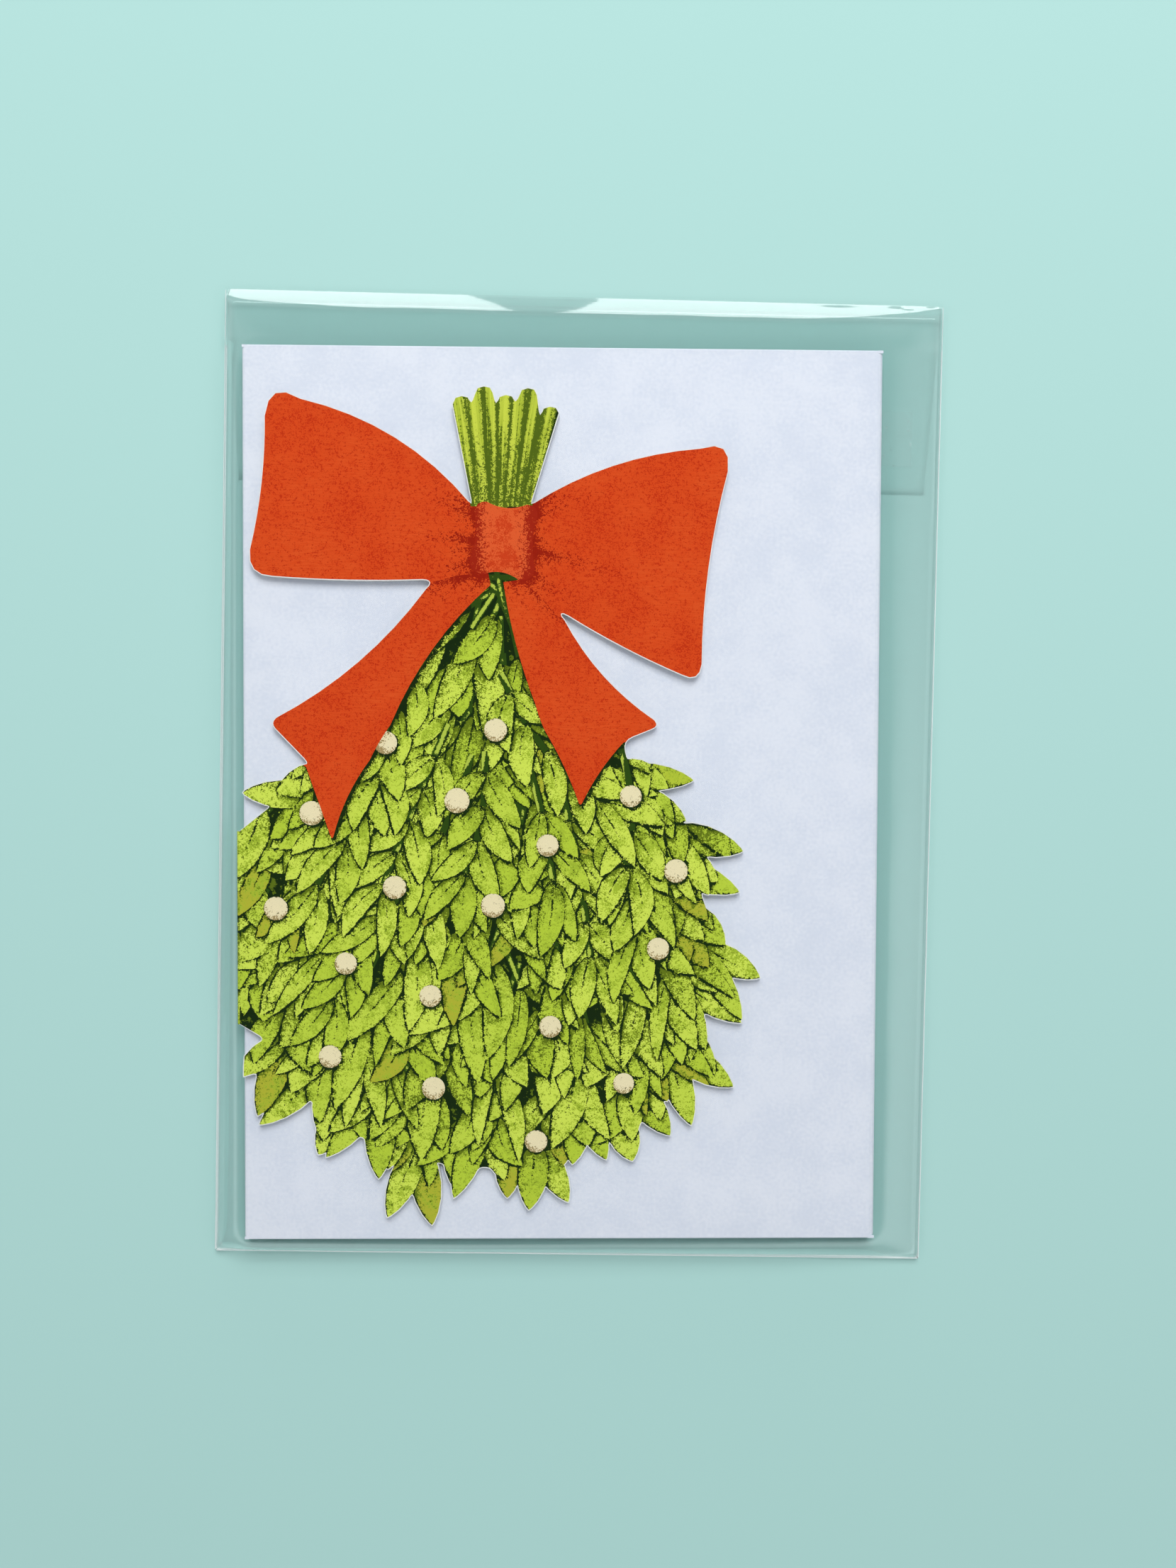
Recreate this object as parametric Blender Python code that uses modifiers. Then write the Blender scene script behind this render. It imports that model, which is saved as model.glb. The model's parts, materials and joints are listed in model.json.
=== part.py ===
"""Die-cut greeting card lying on its envelope, packed flat in a clear film sleeve.

The set lies on its back, printed side up: +X to the right, +Y towards the cut stems
and the sleeve's folded flap, +Z up. The origin is under the sleeve's middle.
"""

from collections import Counter
from math import copysign, cos, pi, radians, sin
from random import Random

import bmesh
import bpy
from mathutils import Matrix, Vector
from mathutils.geometry import delaunay_2d_cdt

MM = 0.001

# Sheets and coatings: thickness
FILM = 0.06 * MM
PAPER = 0.12 * MM
CARD_STOCK = 0.30 * MM
ADHESIVE = 0.05 * MM
GUM = 0.04 * MM
AIR = 0.20 * MM                 # between two sheets that rest on each other

# Clear sleeve: front film, shorter back film, and a flap that folds behind them
SLEEVE_WIDTH = 104.2 * MM
SLEEVE_LENGTH = 140.6 * MM
FLAP_LENGTH = 27.0 * MM
FLAP_TAPER = 2.0 * MM
LIP_SETBACK = 2.2 * MM          # from the top fold down to the back film's lip
HINGE_GAP = 0.3 * MM            # between the front film's end and the flap's roll
SEAL_WIDTH = 8.0 * MM
SEAL_INSET = 4.0 * MM           # from the flap's free edge to the adhesive
FLAP_CLEARANCE = 0.6 * MM       # the back film stays level this far past the flap's end
BACK_SLOPE = 4.0 * MM           # and has come down to the table this far past it
EDGE_SLOPE = 3.0 * MM           # the back film rises to the sleeve's edges over this length
DRAPE_MARGIN = 0.9 * MM         # level front film beyond the envelope's edges

# Envelope: a front panel with four flaps folded behind it
ENVELOPE_WIDTH = 92.5 * MM
ENVELOPE_HEIGHT = 129.8 * MM
ENVELOPE_PLACE = Vector((-2.15 * MM, -2.5 * MM, 0.0))
ENVELOPE_TURN = radians(0.83)
CORNER_NOTCH = 0.25 * MM
CORNER_GAP = 0.05 * MM          # between a square corner and the rolled edges beside it
SIDE_FLAP_DEPTH = 14.0 * MM
SIDE_FLAP_TAPER = 5.0 * MM
BACK_PANEL_DEPTH = 78.0 * MM
BACK_PANEL_TAPER = 0.6 * MM
CLOSING_FLAP_DEPTH = 38.0 * MM
CLOSING_FLAP_TAPER = 7.0 * MM
GUM_WIDTH = 9.0 * MM
GUM_INSET = 2.0 * MM
SEAM_WIDTH = 5.0 * MM
SEAM_INSET = 3.0 * MM           # from the side flap's inner edge to the seam glue

# Card outline, in millimetres from the envelope's middle
SPINE_X = -46.9                 # outside of the card's fold
SPINE_TOP = -5.0
SPINE_BOTTOM = -33.0
CUT_CLEARANCE = 0.8             # leaves stop this far short of the fold's plane
KNOT_UNDER = Vector((-9.5, 30.0))
STEM_NECK = ((-13.2, 42.2), (-4.6, 42.2))
STEM_LEFT, STEM_RIGHT = -16.2, -0.4
STEM_TOPS = (57.6, 59.0, 57.8, 58.8, 56.2)
# x, y, corner radius, and how far the next edge bows out to its left
RIGHT_RIBBON = (
    (-4.6, 42.2, 0.0, 1.6), (24.4, 52.0, 5.0, -0.9), (19.8, 16.4, 3.0, 0.35), (-0.9, 27.0, 1.8, -1.2),
    (14.2, 10.4, 1.3, 0.0), (8.8, 8.2, 1.5, 0.0), (9.6, 5.0, 0.0, 0.0),
)
LEFT_RIBBON = (
    (-38.6, 1.6, 0.0, 0.0), (-36.4, 4.6, 1.2, 0.0), (-42.2, 10.6, 1.3, -1.6), (-18.4, 31.2, 1.8, 0.3),
    (-45.4, 31.6, 3.8, -0.6), (-42.2, 59.8, 5.4, 2.4), (-13.2, 42.2, 0.0, 0.0),
)
BUNCH_EDGE = (
    (10.0, 5.0), (16.4, -4.4), (20.8, -15.6), (21.2, -28.2), (16.6, -40.0), (5.6, -49.8),
    (-10.0, -54.0), (-26.0, -51.0), (-37.8, -43.0), (-43.6, -34.8),
)
SHOULDER_EDGE = ((-45.0, -6.5), (-41.0, -2.0), (-38.0, 3.0))

# Leaves that make the bunch's edge, in millimetres
LEAF_LENGTH = 11.5
LEAF_WIDTH = 4.3
LEAF_ROOT_TAPER = 0.65          # exponent of the width near the root: higher is narrower
LEAF_TIP_TAPER = 0.8            # the same near the tip
LEAF_ROOT = 5.0                 # how far inside the edge a leaf starts
SINGLE_LEAF = 0.8               # length of a single leaf to a paired one
SPRAY_SPACING = 4.3
SPRAY_SEED = 4
TUFT_LENGTH = 15.0              # sprays gather in tufts this far apart
TUFT_REACH = 2.8
FORK_ANGLE = radians(16.0)
DROOP = 2.2                     # pull away from the knot against square to the edge
DIE_RADIUS = 0.5                # smallest inside corner that a cutting rule turns
SHARP_CORNER = radians(25.0)

ROLL_STEPS = 6                  # facets in a folded edge


# ---------------------------------------------------------------- layers

LAYERS = (
    ("sleeve flap", FILM),
    ("sleeve adhesive", ADHESIVE),
    ("back film", FILM),
    ("closing flap", PAPER),
    ("flap gum", GUM),
    ("back panel", PAPER),
    ("seam glue", GUM),
    ("side flap", PAPER),
    ("front panel", PAPER),
    ("card back", CARD_STOCK),
    ("card front", CARD_STOCK),
    ("front film", FILM),
)


def layer_heights():
    """Middle height of each sheet in the flat stack, from the bottom up."""
    heights = {}
    base = 0.0
    for name, thickness in LAYERS:
        heights[name] = base + thickness / 2
        base += thickness + AIR
    return heights


Z = layer_heights()
TABLE = FILM / 2                                    # film that lies on the table
SEAM_HEIGHT = Z["back film"] + FILM + AIR           # where the front film meets its edges
HINGE_RADIUS = (SEAM_HEIGHT - TABLE) / 2
HINGE_Y = SLEEVE_LENGTH / 2 - HINGE_RADIUS
HINGE_Z = TABLE + HINGE_RADIUS
SLEEVE_BOTTOM = -SLEEVE_LENGTH / 2
LIP_Y = HINGE_Y - LIP_SETBACK
FLAP_END = HINGE_Y - FLAP_LENGTH


# ---------------------------------------------------------------- scene helpers

def clear_scene():
    for obj in list(bpy.data.objects):
        bpy.data.objects.remove(obj, do_unlink=True)


def make_material(name, colour, roughness, alpha=1.0):
    material = bpy.data.materials.new(name)
    material.use_nodes = True
    shader = material.node_tree.nodes["Principled BSDF"]
    shader.inputs["Base Color"].default_value = (*colour, 1.0)
    shader.inputs["Roughness"].default_value = roughness
    shader.inputs["Metallic"].default_value = 0.0
    shader.inputs["Alpha"].default_value = alpha
    return material


def make_sheet(name, bm, thickness, material, collection):
    """A sheet of even thickness along an open surface, half of it on either side."""
    bmesh.ops.remove_doubles(bm, verts=bm.verts, dist=0.001 * MM)
    bmesh.ops.recalc_face_normals(bm, faces=bm.faces)
    mesh = bpy.data.meshes.new(name)
    bm.to_mesh(mesh)
    bm.free()
    mesh.materials.append(material)
    obj = bpy.data.objects.new(name, mesh)
    collection.objects.link(obj)
    solidify = obj.modifiers.new("thickness", "SOLIDIFY")
    solidify.thickness = thickness
    solidify.offset = 0.0
    return obj


def place_on_envelope(obj):
    """Turn and shift a piece from the envelope's own frame into the set."""
    obj.location = ENVELOPE_PLACE
    obj.rotation_euler.z = ENVELOPE_TURN


def add_strip(bm, width, length, centre):
    """A flat rectangle, width along X and length along Y."""
    place = Matrix.Translation(centre) @ Matrix.Diagonal((width, length, 1.0, 1.0))
    bmesh.ops.create_grid(bm, x_segments=1, y_segments=1, size=0.5, matrix=place)


# ---------------------------------------------------------------- folding

def add_flap(bm, inward, depth, reach, taper):
    """Roll the edge that lies outermost against inward under, and carry it on as a flap.

    The flap lies depth below its panel, runs reach along inward, and narrows by
    taper at each end.
    """
    edge = min(bm.edges, key=lambda side: (side.verts[0].co + side.verts[1].co).dot(inward))
    middle = (edge.verts[0].co + edge.verts[1].co) / 2
    centre = middle - Vector((0.0, 0.0, depth / 2))
    axis = inward.cross(Vector((0.0, 0.0, 1.0)))
    rolled = bmesh.ops.spin(bm, geom=[edge], cent=centre, axis=axis, angle=pi, steps=ROLL_STEPS)
    hem = [item for item in rolled["geom_last"] if isinstance(item, bmesh.types.BMEdge)]
    laid = bmesh.ops.extrude_edge_only(bm, edges=hem)
    for vert in laid["geom"]:
        if isinstance(vert, bmesh.types.BMVert):
            end = 1 if (vert.co - middle).dot(axis) > 0.0 else -1
            vert.co += inward * reach - axis * end * taper


# ---------------------------------------------------------------- card outline

def rounded_corner(corner, before, after, radius, steps=4):
    start = corner + (before - corner).normalized() * radius
    end = corner + (after - corner).normalized() * radius
    fractions = [step / steps for step in range(steps + 1)]
    return [start * (1 - t) ** 2 + corner * 2 * t * (1 - t) + end * t ** 2 for t in fractions]


def bowed_edge(start, end, sag, steps=8):
    """Points between start and end on a shallow arch that bulges to the left."""
    side = Vector((start.y - end.y, end.x - start.x)).normalized()
    fractions = [step / steps for step in range(1, steps)]
    return [start.lerp(end, t) + side * sag * 4 * t * (1 - t) for t in fractions]


def ribbon_outline(corners):
    """Open outline through (x, y, corner radius, bow of the next edge)."""
    spots = [Vector(corner[:2]) for corner in corners]
    points = [spots[0]]
    for index in range(1, len(corners)):
        bend = [spots[index]]
        if index < len(corners) - 1:
            bend = rounded_corner(spots[index], spots[index - 1], spots[index + 1], corners[index][2])
        bow = corners[index - 1][3]
        if bow:
            points += bowed_edge(points[-1], bend[0], bow)
        points += bend
    return points


def stem_outline():
    """Outline of the cut stems, from the neck's left side to its right side."""
    neck_left, neck_right = (Vector(spot) for spot in STEM_NECK)
    width = (STEM_RIGHT - STEM_LEFT) / len(STEM_TOPS)
    points = [neck_left]
    for index, top in enumerate(STEM_TOPS):
        left = STEM_LEFT + index * width
        for across, drop in ((0.06, 1.3), (0.2, 0.3), (0.5, 0.0), (0.8, 0.2), (0.94, 1.0)):
            points.append(Vector((left + across * width, top - drop)))
    return points + [neck_right]


def smooth_curve(points, steps):
    """Catmull-Rom curve through every point."""
    spots = [Vector(point) for point in points]
    curve = []
    for index in range(len(spots) - 1):
        p0, p1 = spots[max(index - 1, 0)], spots[index]
        p2, p3 = spots[index + 1], spots[min(index + 2, len(spots) - 1)]
        for step in range(steps):
            t = step / steps
            curve.append(0.5 * (2 * p1 + (p2 - p0) * t + (2 * p0 - 5 * p1 + 4 * p2 - p3) * t ** 2
                                + (3 * p1 - p0 - 3 * p2 + p3) * t ** 3))
    return curve + [spots[-1]]


def leaf_outline(root, along, length, width, facets=16):
    """Closed anticlockwise outline of one leaf, fullest a little short of its middle."""
    across = Vector((along.y, -along.x))
    fullest = LEAF_ROOT_TAPER / (LEAF_ROOT_TAPER + LEAF_TIP_TAPER)
    points = []
    for facet in range(facets):
        share = (1 - cos(2 * pi * facet / facets)) / 2
        side = 1 if facet < facets / 2 else -1
        half = width / 2 * (share / fullest) ** LEAF_ROOT_TAPER * ((1 - share) / (1 - fullest)) ** LEAF_TIP_TAPER
        point = root + along * length * share + across * side * half
        points.append(Vector((max(point.x, SPINE_X + CUT_CLEARANCE), point.y)))
    return points


def edge_leaves(path, chance):
    """Outlines of the leaves along a stretch of the bunch's edge.

    Forked pairs alternate with shorter single leaves, and both gather in tufts.
    """
    leaves = []
    edge = smooth_curve(path, 12)
    travelled, due, paired = 0.0, 1.0, False
    for here, there in zip(edge, edge[1:]):
        travelled += (there - here).length
        if travelled < due:
            continue
        due += SPRAY_SPACING * chance.uniform(0.85, 1.15)
        tangent = (there - here).normalized()
        normal = Vector((-tangent.y, tangent.x))
        outward = ((there - KNOT_UNDER).normalized() * DROOP + normal).normalized()
        reach = TUFT_REACH * cos(2 * pi * travelled / TUFT_LENGTH)
        root = there + outward * (reach - LEAF_ROOT)
        for lean in ((FORK_ANGLE, -FORK_ANGLE) if paired else (0.0,)):
            along = outward.copy()
            along.rotate(Matrix.Rotation(lean * chance.uniform(0.75, 1.3) + chance.uniform(-0.1, 0.1), 2))
            length = LEAF_LENGTH * (1.0 if paired else SINGLE_LEAF) * chance.uniform(0.82, 1.12)
            leaves.append(leaf_outline(root, along, length, LEAF_WIDTH * chance.uniform(0.9, 1.12)))
        paired = not paired
    return leaves


def outer_loop(outlines):
    """Outline of everything that the closed anticlockwise outlines cover together."""
    points, faces = [], []
    for outline in outlines:
        faces.append(range(len(points), len(points) + len(outline)))
        points += outline
    verts, _, triangles, _, _, owners = delaunay_2d_cdt(points, [], faces, 0, 1e-5, True)
    covered = [triangle for triangle, owner in zip(triangles, owners) if owner]
    sides = [(corners[k - 1], corners[k]) for corners in covered for k in range(3)]
    uses = Counter(frozenset(side) for side in sides)
    following = {start: end for start, end in sides if uses[frozenset((start, end))] == 1}
    start = min(following, key=lambda vert: verts[vert].x)
    loop = [start]
    while following[loop[-1]] != start:
        loop.append(following[loop[-1]])
    return [verts[vert] for vert in loop]


def ease_inside_corners(loop):
    """Round the sharp inside corners of an anticlockwise loop."""
    points = []
    for index, corner in enumerate(loop):
        before, after = loop[index - 1], loop[(index + 1) % len(loop)]
        turn = (corner - before).angle_signed(after - corner)
        room = min((corner - before).length, (after - corner).length) * 0.45
        if turn > SHARP_CORNER:
            points += rounded_corner(corner, before, after, min(DIE_RADIUS, room), 2)
        else:
            points.append(corner)
    return points


def card_outline():
    """The die-cut outline, in metres: bow and stems joined to the leafy bunch."""
    spine_x = SPINE_X * MM + (CARD_STOCK + Z["card front"] - Z["card back"]) / 2
    spine = [Vector((spine_x / MM, SPINE_BOTTOM)), Vector((spine_x / MM, SPINE_TOP))]
    body = (stem_outline() + ribbon_outline(RIGHT_RIBBON)[1:] + smooth_curve(BUNCH_EDGE, 6)[1:]
            + spine + ribbon_outline(LEFT_RIBBON)[:-1])
    chance = Random(SPRAY_SEED)
    leaves = edge_leaves(BUNCH_EDGE, chance) + edge_leaves(SHOULDER_EDGE, chance)
    return [point * MM for point in ease_inside_corners(outer_loop([body[::-1]] + leaves))]


# ---------------------------------------------------------------- pieces

def make_card(material, collection):
    """One sheet of card, folded at its spine into a front leaf and a back leaf."""
    outline = card_outline()
    bm = bmesh.new()
    front = bm.faces.new([bm.verts.new((x, y, Z["card front"])) for x, y in outline])
    bm.faces.new([bm.verts.new((x, y, Z["card back"])) for x, y in outline])
    spine = min(front.edges, key=lambda edge: edge.verts[0].co.x + edge.verts[1].co.x)
    depth = Z["card front"] - Z["card back"]
    centre = spine.verts[0].co - Vector((0.0, 0.0, depth / 2))
    bmesh.ops.spin(bm, geom=[spine], cent=centre, axis=(0.0, -1.0, 0.0), angle=pi, steps=ROLL_STEPS)
    place_on_envelope(make_sheet("card", bm, CARD_STOCK, material, collection))


def square_corner(bm, cut):
    """Carry the front panel on from a cut corner to the square one between two rolled edges."""
    upper, outer = sorted(cut.verts, key=lambda vert: -abs(vert.co.y))
    side, end = copysign(1.0, outer.co.x), copysign(1.0, upper.co.y)
    x = side * (ENVELOPE_WIDTH / 2 - CORNER_GAP)
    y = end * (ENVELOPE_HEIGHT / 2 - CORNER_GAP)
    spots = ((upper.co.x + side * CORNER_GAP, y), (x, y), (x, outer.co.y + end * CORNER_GAP))
    ear = [bm.verts.new((*spot, upper.co.z)) for spot in spots]
    bm.faces.new([upper, *ear, outer])


def make_envelope(paper, gum, collection):
    """The envelope's folded paper, its side seams, and the gum on its closing flap."""
    side_depth = Z["front panel"] - Z["side flap"]
    back_depth = Z["front panel"] - Z["back panel"]
    closing_depth = Z["front panel"] - Z["closing flap"]
    left = (-ENVELOPE_WIDTH + back_depth + PAPER) / 2
    right = (ENVELOPE_WIDTH - closing_depth - PAPER) / 2
    panel_height = ENVELOPE_HEIGHT - side_depth - PAPER
    flaps = (
        (Vector((0.0, 1.0, 0.0)), side_depth, SIDE_FLAP_DEPTH, SIDE_FLAP_TAPER),
        (Vector((0.0, -1.0, 0.0)), side_depth, SIDE_FLAP_DEPTH, SIDE_FLAP_TAPER),
        (Vector((1.0, 0.0, 0.0)), back_depth, BACK_PANEL_DEPTH, BACK_PANEL_TAPER),
        (Vector((-1.0, 0.0, 0.0)), closing_depth, CLOSING_FLAP_DEPTH, CLOSING_FLAP_TAPER),
    )
    bm = bmesh.new()
    add_strip(bm, right - left, panel_height, Vector(((left + right) / 2, 0.0, Z["front panel"])))
    bmesh.ops.bevel(bm, geom=bm.verts[:], offset=CORNER_NOTCH, affect="VERTICES")
    cuts = [edge for edge in bm.edges if edge.calc_length() < 2 * CORNER_NOTCH]
    for inward, depth, reach, taper in flaps:
        add_flap(bm, inward, depth, reach, taper)
    for cut in cuts:
        square_corner(bm, cut)
    place_on_envelope(make_sheet("envelope", bm, PAPER, paper, collection))

    seam_length = BACK_PANEL_DEPTH - 2 * SIDE_FLAP_TAPER
    seam_x = left + SIDE_FLAP_TAPER + seam_length / 2
    seam_y = ENVELOPE_HEIGHT / 2 - SIDE_FLAP_DEPTH + SEAM_INSET + SEAM_WIDTH / 2
    for name, side in (("envelope_seam_upper", 1), ("envelope_seam_lower", -1)):
        bm = bmesh.new()
        add_strip(bm, seam_length, SEAM_WIDTH, Vector((seam_x, side * seam_y, Z["seam glue"])))
        place_on_envelope(make_sheet(name, bm, GUM, gum, collection))

    gum_x = right - CLOSING_FLAP_DEPTH + GUM_INSET + GUM_WIDTH / 2
    gum_length = ENVELOPE_HEIGHT - 2 * (CLOSING_FLAP_TAPER + GUM_INSET)
    bm = bmesh.new()
    add_strip(bm, GUM_WIDTH, gum_length, Vector((gum_x, 0.0, Z["flap gum"])))
    place_on_envelope(make_sheet("envelope_flap_gum", bm, GUM, gum, collection))


def edge_distance(x, y, top):
    """Distance from a point to the nearest of the sleeve's edges and its top."""
    return max(0.0, min(SLEEVE_WIDTH / 2 - abs(x), y - SLEEVE_BOTTOM, top - y))


def front_film_height(x, y):
    """The front film lies level over the envelope and curves down to the edges."""
    spot = Vector((x, y, 0.0)) - ENVELOPE_PLACE
    spot.rotate(Matrix.Rotation(-ENVELOPE_TURN, 3, "Z"))
    outside = max(abs(spot.x) - ENVELOPE_WIDTH / 2, abs(spot.y) - ENVELOPE_HEIGHT / 2) - DRAPE_MARGIN
    to_edge = edge_distance(x, y, HINGE_Y)
    if outside <= 0.0:
        return Z["front film"]
    fall = outside / (outside + to_edge)
    return Z["front film"] + (SEAM_HEIGHT - Z["front film"]) * fall ** 2


def back_film_height(x, y):
    """The back film lies on the table, climbs over the flap and rises to the edges."""
    climb = min(max((y - FLAP_END + BACK_SLOPE) / (BACK_SLOPE - FLAP_CLEARANCE), 0.0), 1.0)
    level = TABLE + (Z["back film"] - TABLE) * climb
    rise = max(0.0, 1.0 - edge_distance(x, y, SLEEVE_LENGTH) / EDGE_SLOPE)
    return level + (SEAM_HEIGHT - level) * rise ** 2


def add_film(bm, columns, rows, height):
    """A film through height(x, y), with a grid line at every column and row."""
    across, along = len(columns) - 1, len(rows) - 1
    grid = bmesh.ops.create_grid(bm, x_segments=across, y_segments=along, size=0.5)
    for vert in grid["verts"]:
        x = columns[round((vert.co.x + 0.5) * across)]
        y = rows[round((vert.co.y + 0.5) * along)]
        vert.co = (x, y, height(x, y))


def steps_between(start, end, count):
    return [start + (end - start) * index / count for index in range(count)]


def make_sleeve(material, collection):
    """The pouch: front and back film joined at the sides and at the bottom fold."""
    half = SLEEVE_WIDTH / 2
    flank = half - 9.0 * MM                         # inside of the drape's steepest part
    foot = SLEEVE_BOTTOM + 4.5 * MM
    head = LIP_Y - 8.0 * MM
    columns = (steps_between(-half, -half + EDGE_SLOPE, 4) + steps_between(-half + EDGE_SLOPE, flank, 6)
               + steps_between(flank, half - EDGE_SLOPE, 4) + steps_between(half - EDGE_SLOPE, half, 4)
               + [half])
    rows = (steps_between(SLEEVE_BOTTOM, foot, 6) + steps_between(foot, FLAP_END - BACK_SLOPE, 6)
            + steps_between(FLAP_END - BACK_SLOPE, FLAP_END - FLAP_CLEARANCE, 2)
            + steps_between(FLAP_END - FLAP_CLEARANCE, head, 3) + steps_between(head, LIP_Y, 6) + [LIP_Y])
    over_lip = steps_between(LIP_Y, HINGE_Y - HINGE_GAP, 3)[1:] + [HINGE_Y - HINGE_GAP]
    bm = bmesh.new()
    add_film(bm, columns, rows, back_film_height)
    add_film(bm, columns, rows + over_lip, front_film_height)
    make_sheet("sleeve", bm, FILM, material, collection)


def make_sleeve_flap(film, adhesive, collection):
    """The flap, rolled under the pouch about its hinge line, with its adhesive strip."""
    bm = bmesh.new()
    half = SLEEVE_WIDTH / 2
    top = HINGE_Z + HINGE_RADIUS
    bm.edges.new([bm.verts.new((x, HINGE_Y, top)) for x in (-half, half)])
    add_flap(bm, Vector((0.0, -1.0, 0.0)), 2 * HINGE_RADIUS, FLAP_LENGTH, FLAP_TAPER)
    flap = make_sheet("sleeve_flap", bm, FILM, film, collection)

    bm = bmesh.new()
    seal_y = FLAP_END + SEAL_INSET + SEAL_WIDTH / 2
    add_strip(bm, SLEEVE_WIDTH - 4 * FLAP_TAPER, SEAL_WIDTH, Vector((0.0, seal_y, Z["sleeve adhesive"])))
    seal = make_sheet("sleeve_adhesive", bm, ADHESIVE, adhesive, collection)

    hinge = bpy.data.objects.new("flap_hinge", None)
    hinge.location = (0.0, HINGE_Y, HINGE_Z)
    collection.objects.link(hinge)
    for piece in (flap, seal):
        piece.data.transform(Matrix.Translation(-hinge.location))
        piece.parent = hinge


def main():
    clear_scene()
    card_set = bpy.data.collections.new("sleeved_die_cut_card")
    bpy.context.scene.collection.children.link(card_set)

    card_print = make_material("printed_card", (0.35, 0.45, 0.06), 0.55)
    paper = make_material("envelope_paper", (0.80, 0.82, 0.88), 0.75)
    gum = make_material("dried_gum", (0.78, 0.76, 0.68), 0.35)
    film = make_material("clear_film", (0.92, 0.97, 0.96), 0.06, alpha=0.15)
    adhesive = make_material("clear_adhesive", (0.90, 0.93, 0.92), 0.30, alpha=0.35)

    make_card(card_print, card_set)
    make_envelope(paper, gum, card_set)
    make_sleeve(film, card_set)
    make_sleeve_flap(film, adhesive, card_set)


main()
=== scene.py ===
"""Looks of a die-cut greeting card that lies on its envelope in a clear film sleeve.

The set lies on its back, printed side up, with the picture's cut stems towards +Y.
Lengths are in metres. The print alone is laid out in millimetres, from the envelope's
middle, in the envelope's own directions.
"""
import json
import logging
import math
from collections.abc import Callable, Sequence
from dataclasses import asdict, dataclass, field, fields
from enum import Enum
from random import Random

import bmesh
import bpy
from mathutils import Matrix, Vector
from mathutils.geometry import delaunay_2d_cdt


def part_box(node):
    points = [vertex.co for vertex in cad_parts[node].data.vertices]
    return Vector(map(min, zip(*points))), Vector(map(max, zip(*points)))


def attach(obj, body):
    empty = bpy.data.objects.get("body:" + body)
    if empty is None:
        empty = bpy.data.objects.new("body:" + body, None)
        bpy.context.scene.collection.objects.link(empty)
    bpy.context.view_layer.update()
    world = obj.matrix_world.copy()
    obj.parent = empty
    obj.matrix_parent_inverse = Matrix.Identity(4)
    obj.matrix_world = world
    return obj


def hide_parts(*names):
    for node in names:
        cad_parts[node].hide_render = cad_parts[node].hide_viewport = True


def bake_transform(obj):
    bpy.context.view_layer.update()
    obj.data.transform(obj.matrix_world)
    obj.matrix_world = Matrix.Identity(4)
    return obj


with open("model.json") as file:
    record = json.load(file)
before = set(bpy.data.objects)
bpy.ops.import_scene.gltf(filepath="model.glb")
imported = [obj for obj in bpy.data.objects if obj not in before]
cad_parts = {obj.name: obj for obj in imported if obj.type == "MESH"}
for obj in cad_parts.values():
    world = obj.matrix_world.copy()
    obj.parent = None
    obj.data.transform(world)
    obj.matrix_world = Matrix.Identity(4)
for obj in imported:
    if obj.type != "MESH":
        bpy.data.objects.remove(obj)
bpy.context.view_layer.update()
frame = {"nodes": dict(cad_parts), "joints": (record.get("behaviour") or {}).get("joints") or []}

MM = 0.001
LOG = logging.getLogger("card_set")

Colour = tuple[float, float, float, float]


def shade(red: int, green: int, blue: int) -> Colour:
    """A colour given as display values from 0 to 255, in the linear values that nodes use."""
    levels = [channel / 255 for channel in (red, green, blue)]
    linear = [v / 12.92 if v <= 0.04045 else ((v + 0.055) / 1.055) ** 2.4 for v in levels]
    return (*linear, 1.0)


# ------------------------------------------------------------------------ node trees


def arithmetic(operation: str, swapped: bool = False) -> Callable[["Term", "Value"], "Term"]:
    """An operator of Term that adds one Math node, with its two sides swapped if asked."""
    def operator(self: "Term", other: "Value") -> "Term":
        """The Math node's result."""
        first, second = (other, self) if swapped else (self, other)
        return self.graph.math(operation, first, second)
    return operator


@dataclass(frozen=True)
class Term:
    """A node's output, which can be reckoned with: each operator adds a Math node."""

    graph: "Graph"
    socket: bpy.types.NodeSocket

    __add__ = __radd__ = arithmetic("ADD")
    __mul__ = __rmul__ = arithmetic("MULTIPLY")
    __sub__ = arithmetic("SUBTRACT")
    __rsub__ = arithmetic("SUBTRACT", swapped=True)
    __truediv__ = arithmetic("DIVIDE")
    __pow__ = arithmetic("POWER")

    def __abs__(self) -> "Term":
        """Its size without its sign."""
        return self.graph.math("ABSOLUTE", self)


Value = float | Sequence[float] | Term
Inputs = dict[str | int, Value]


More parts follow.
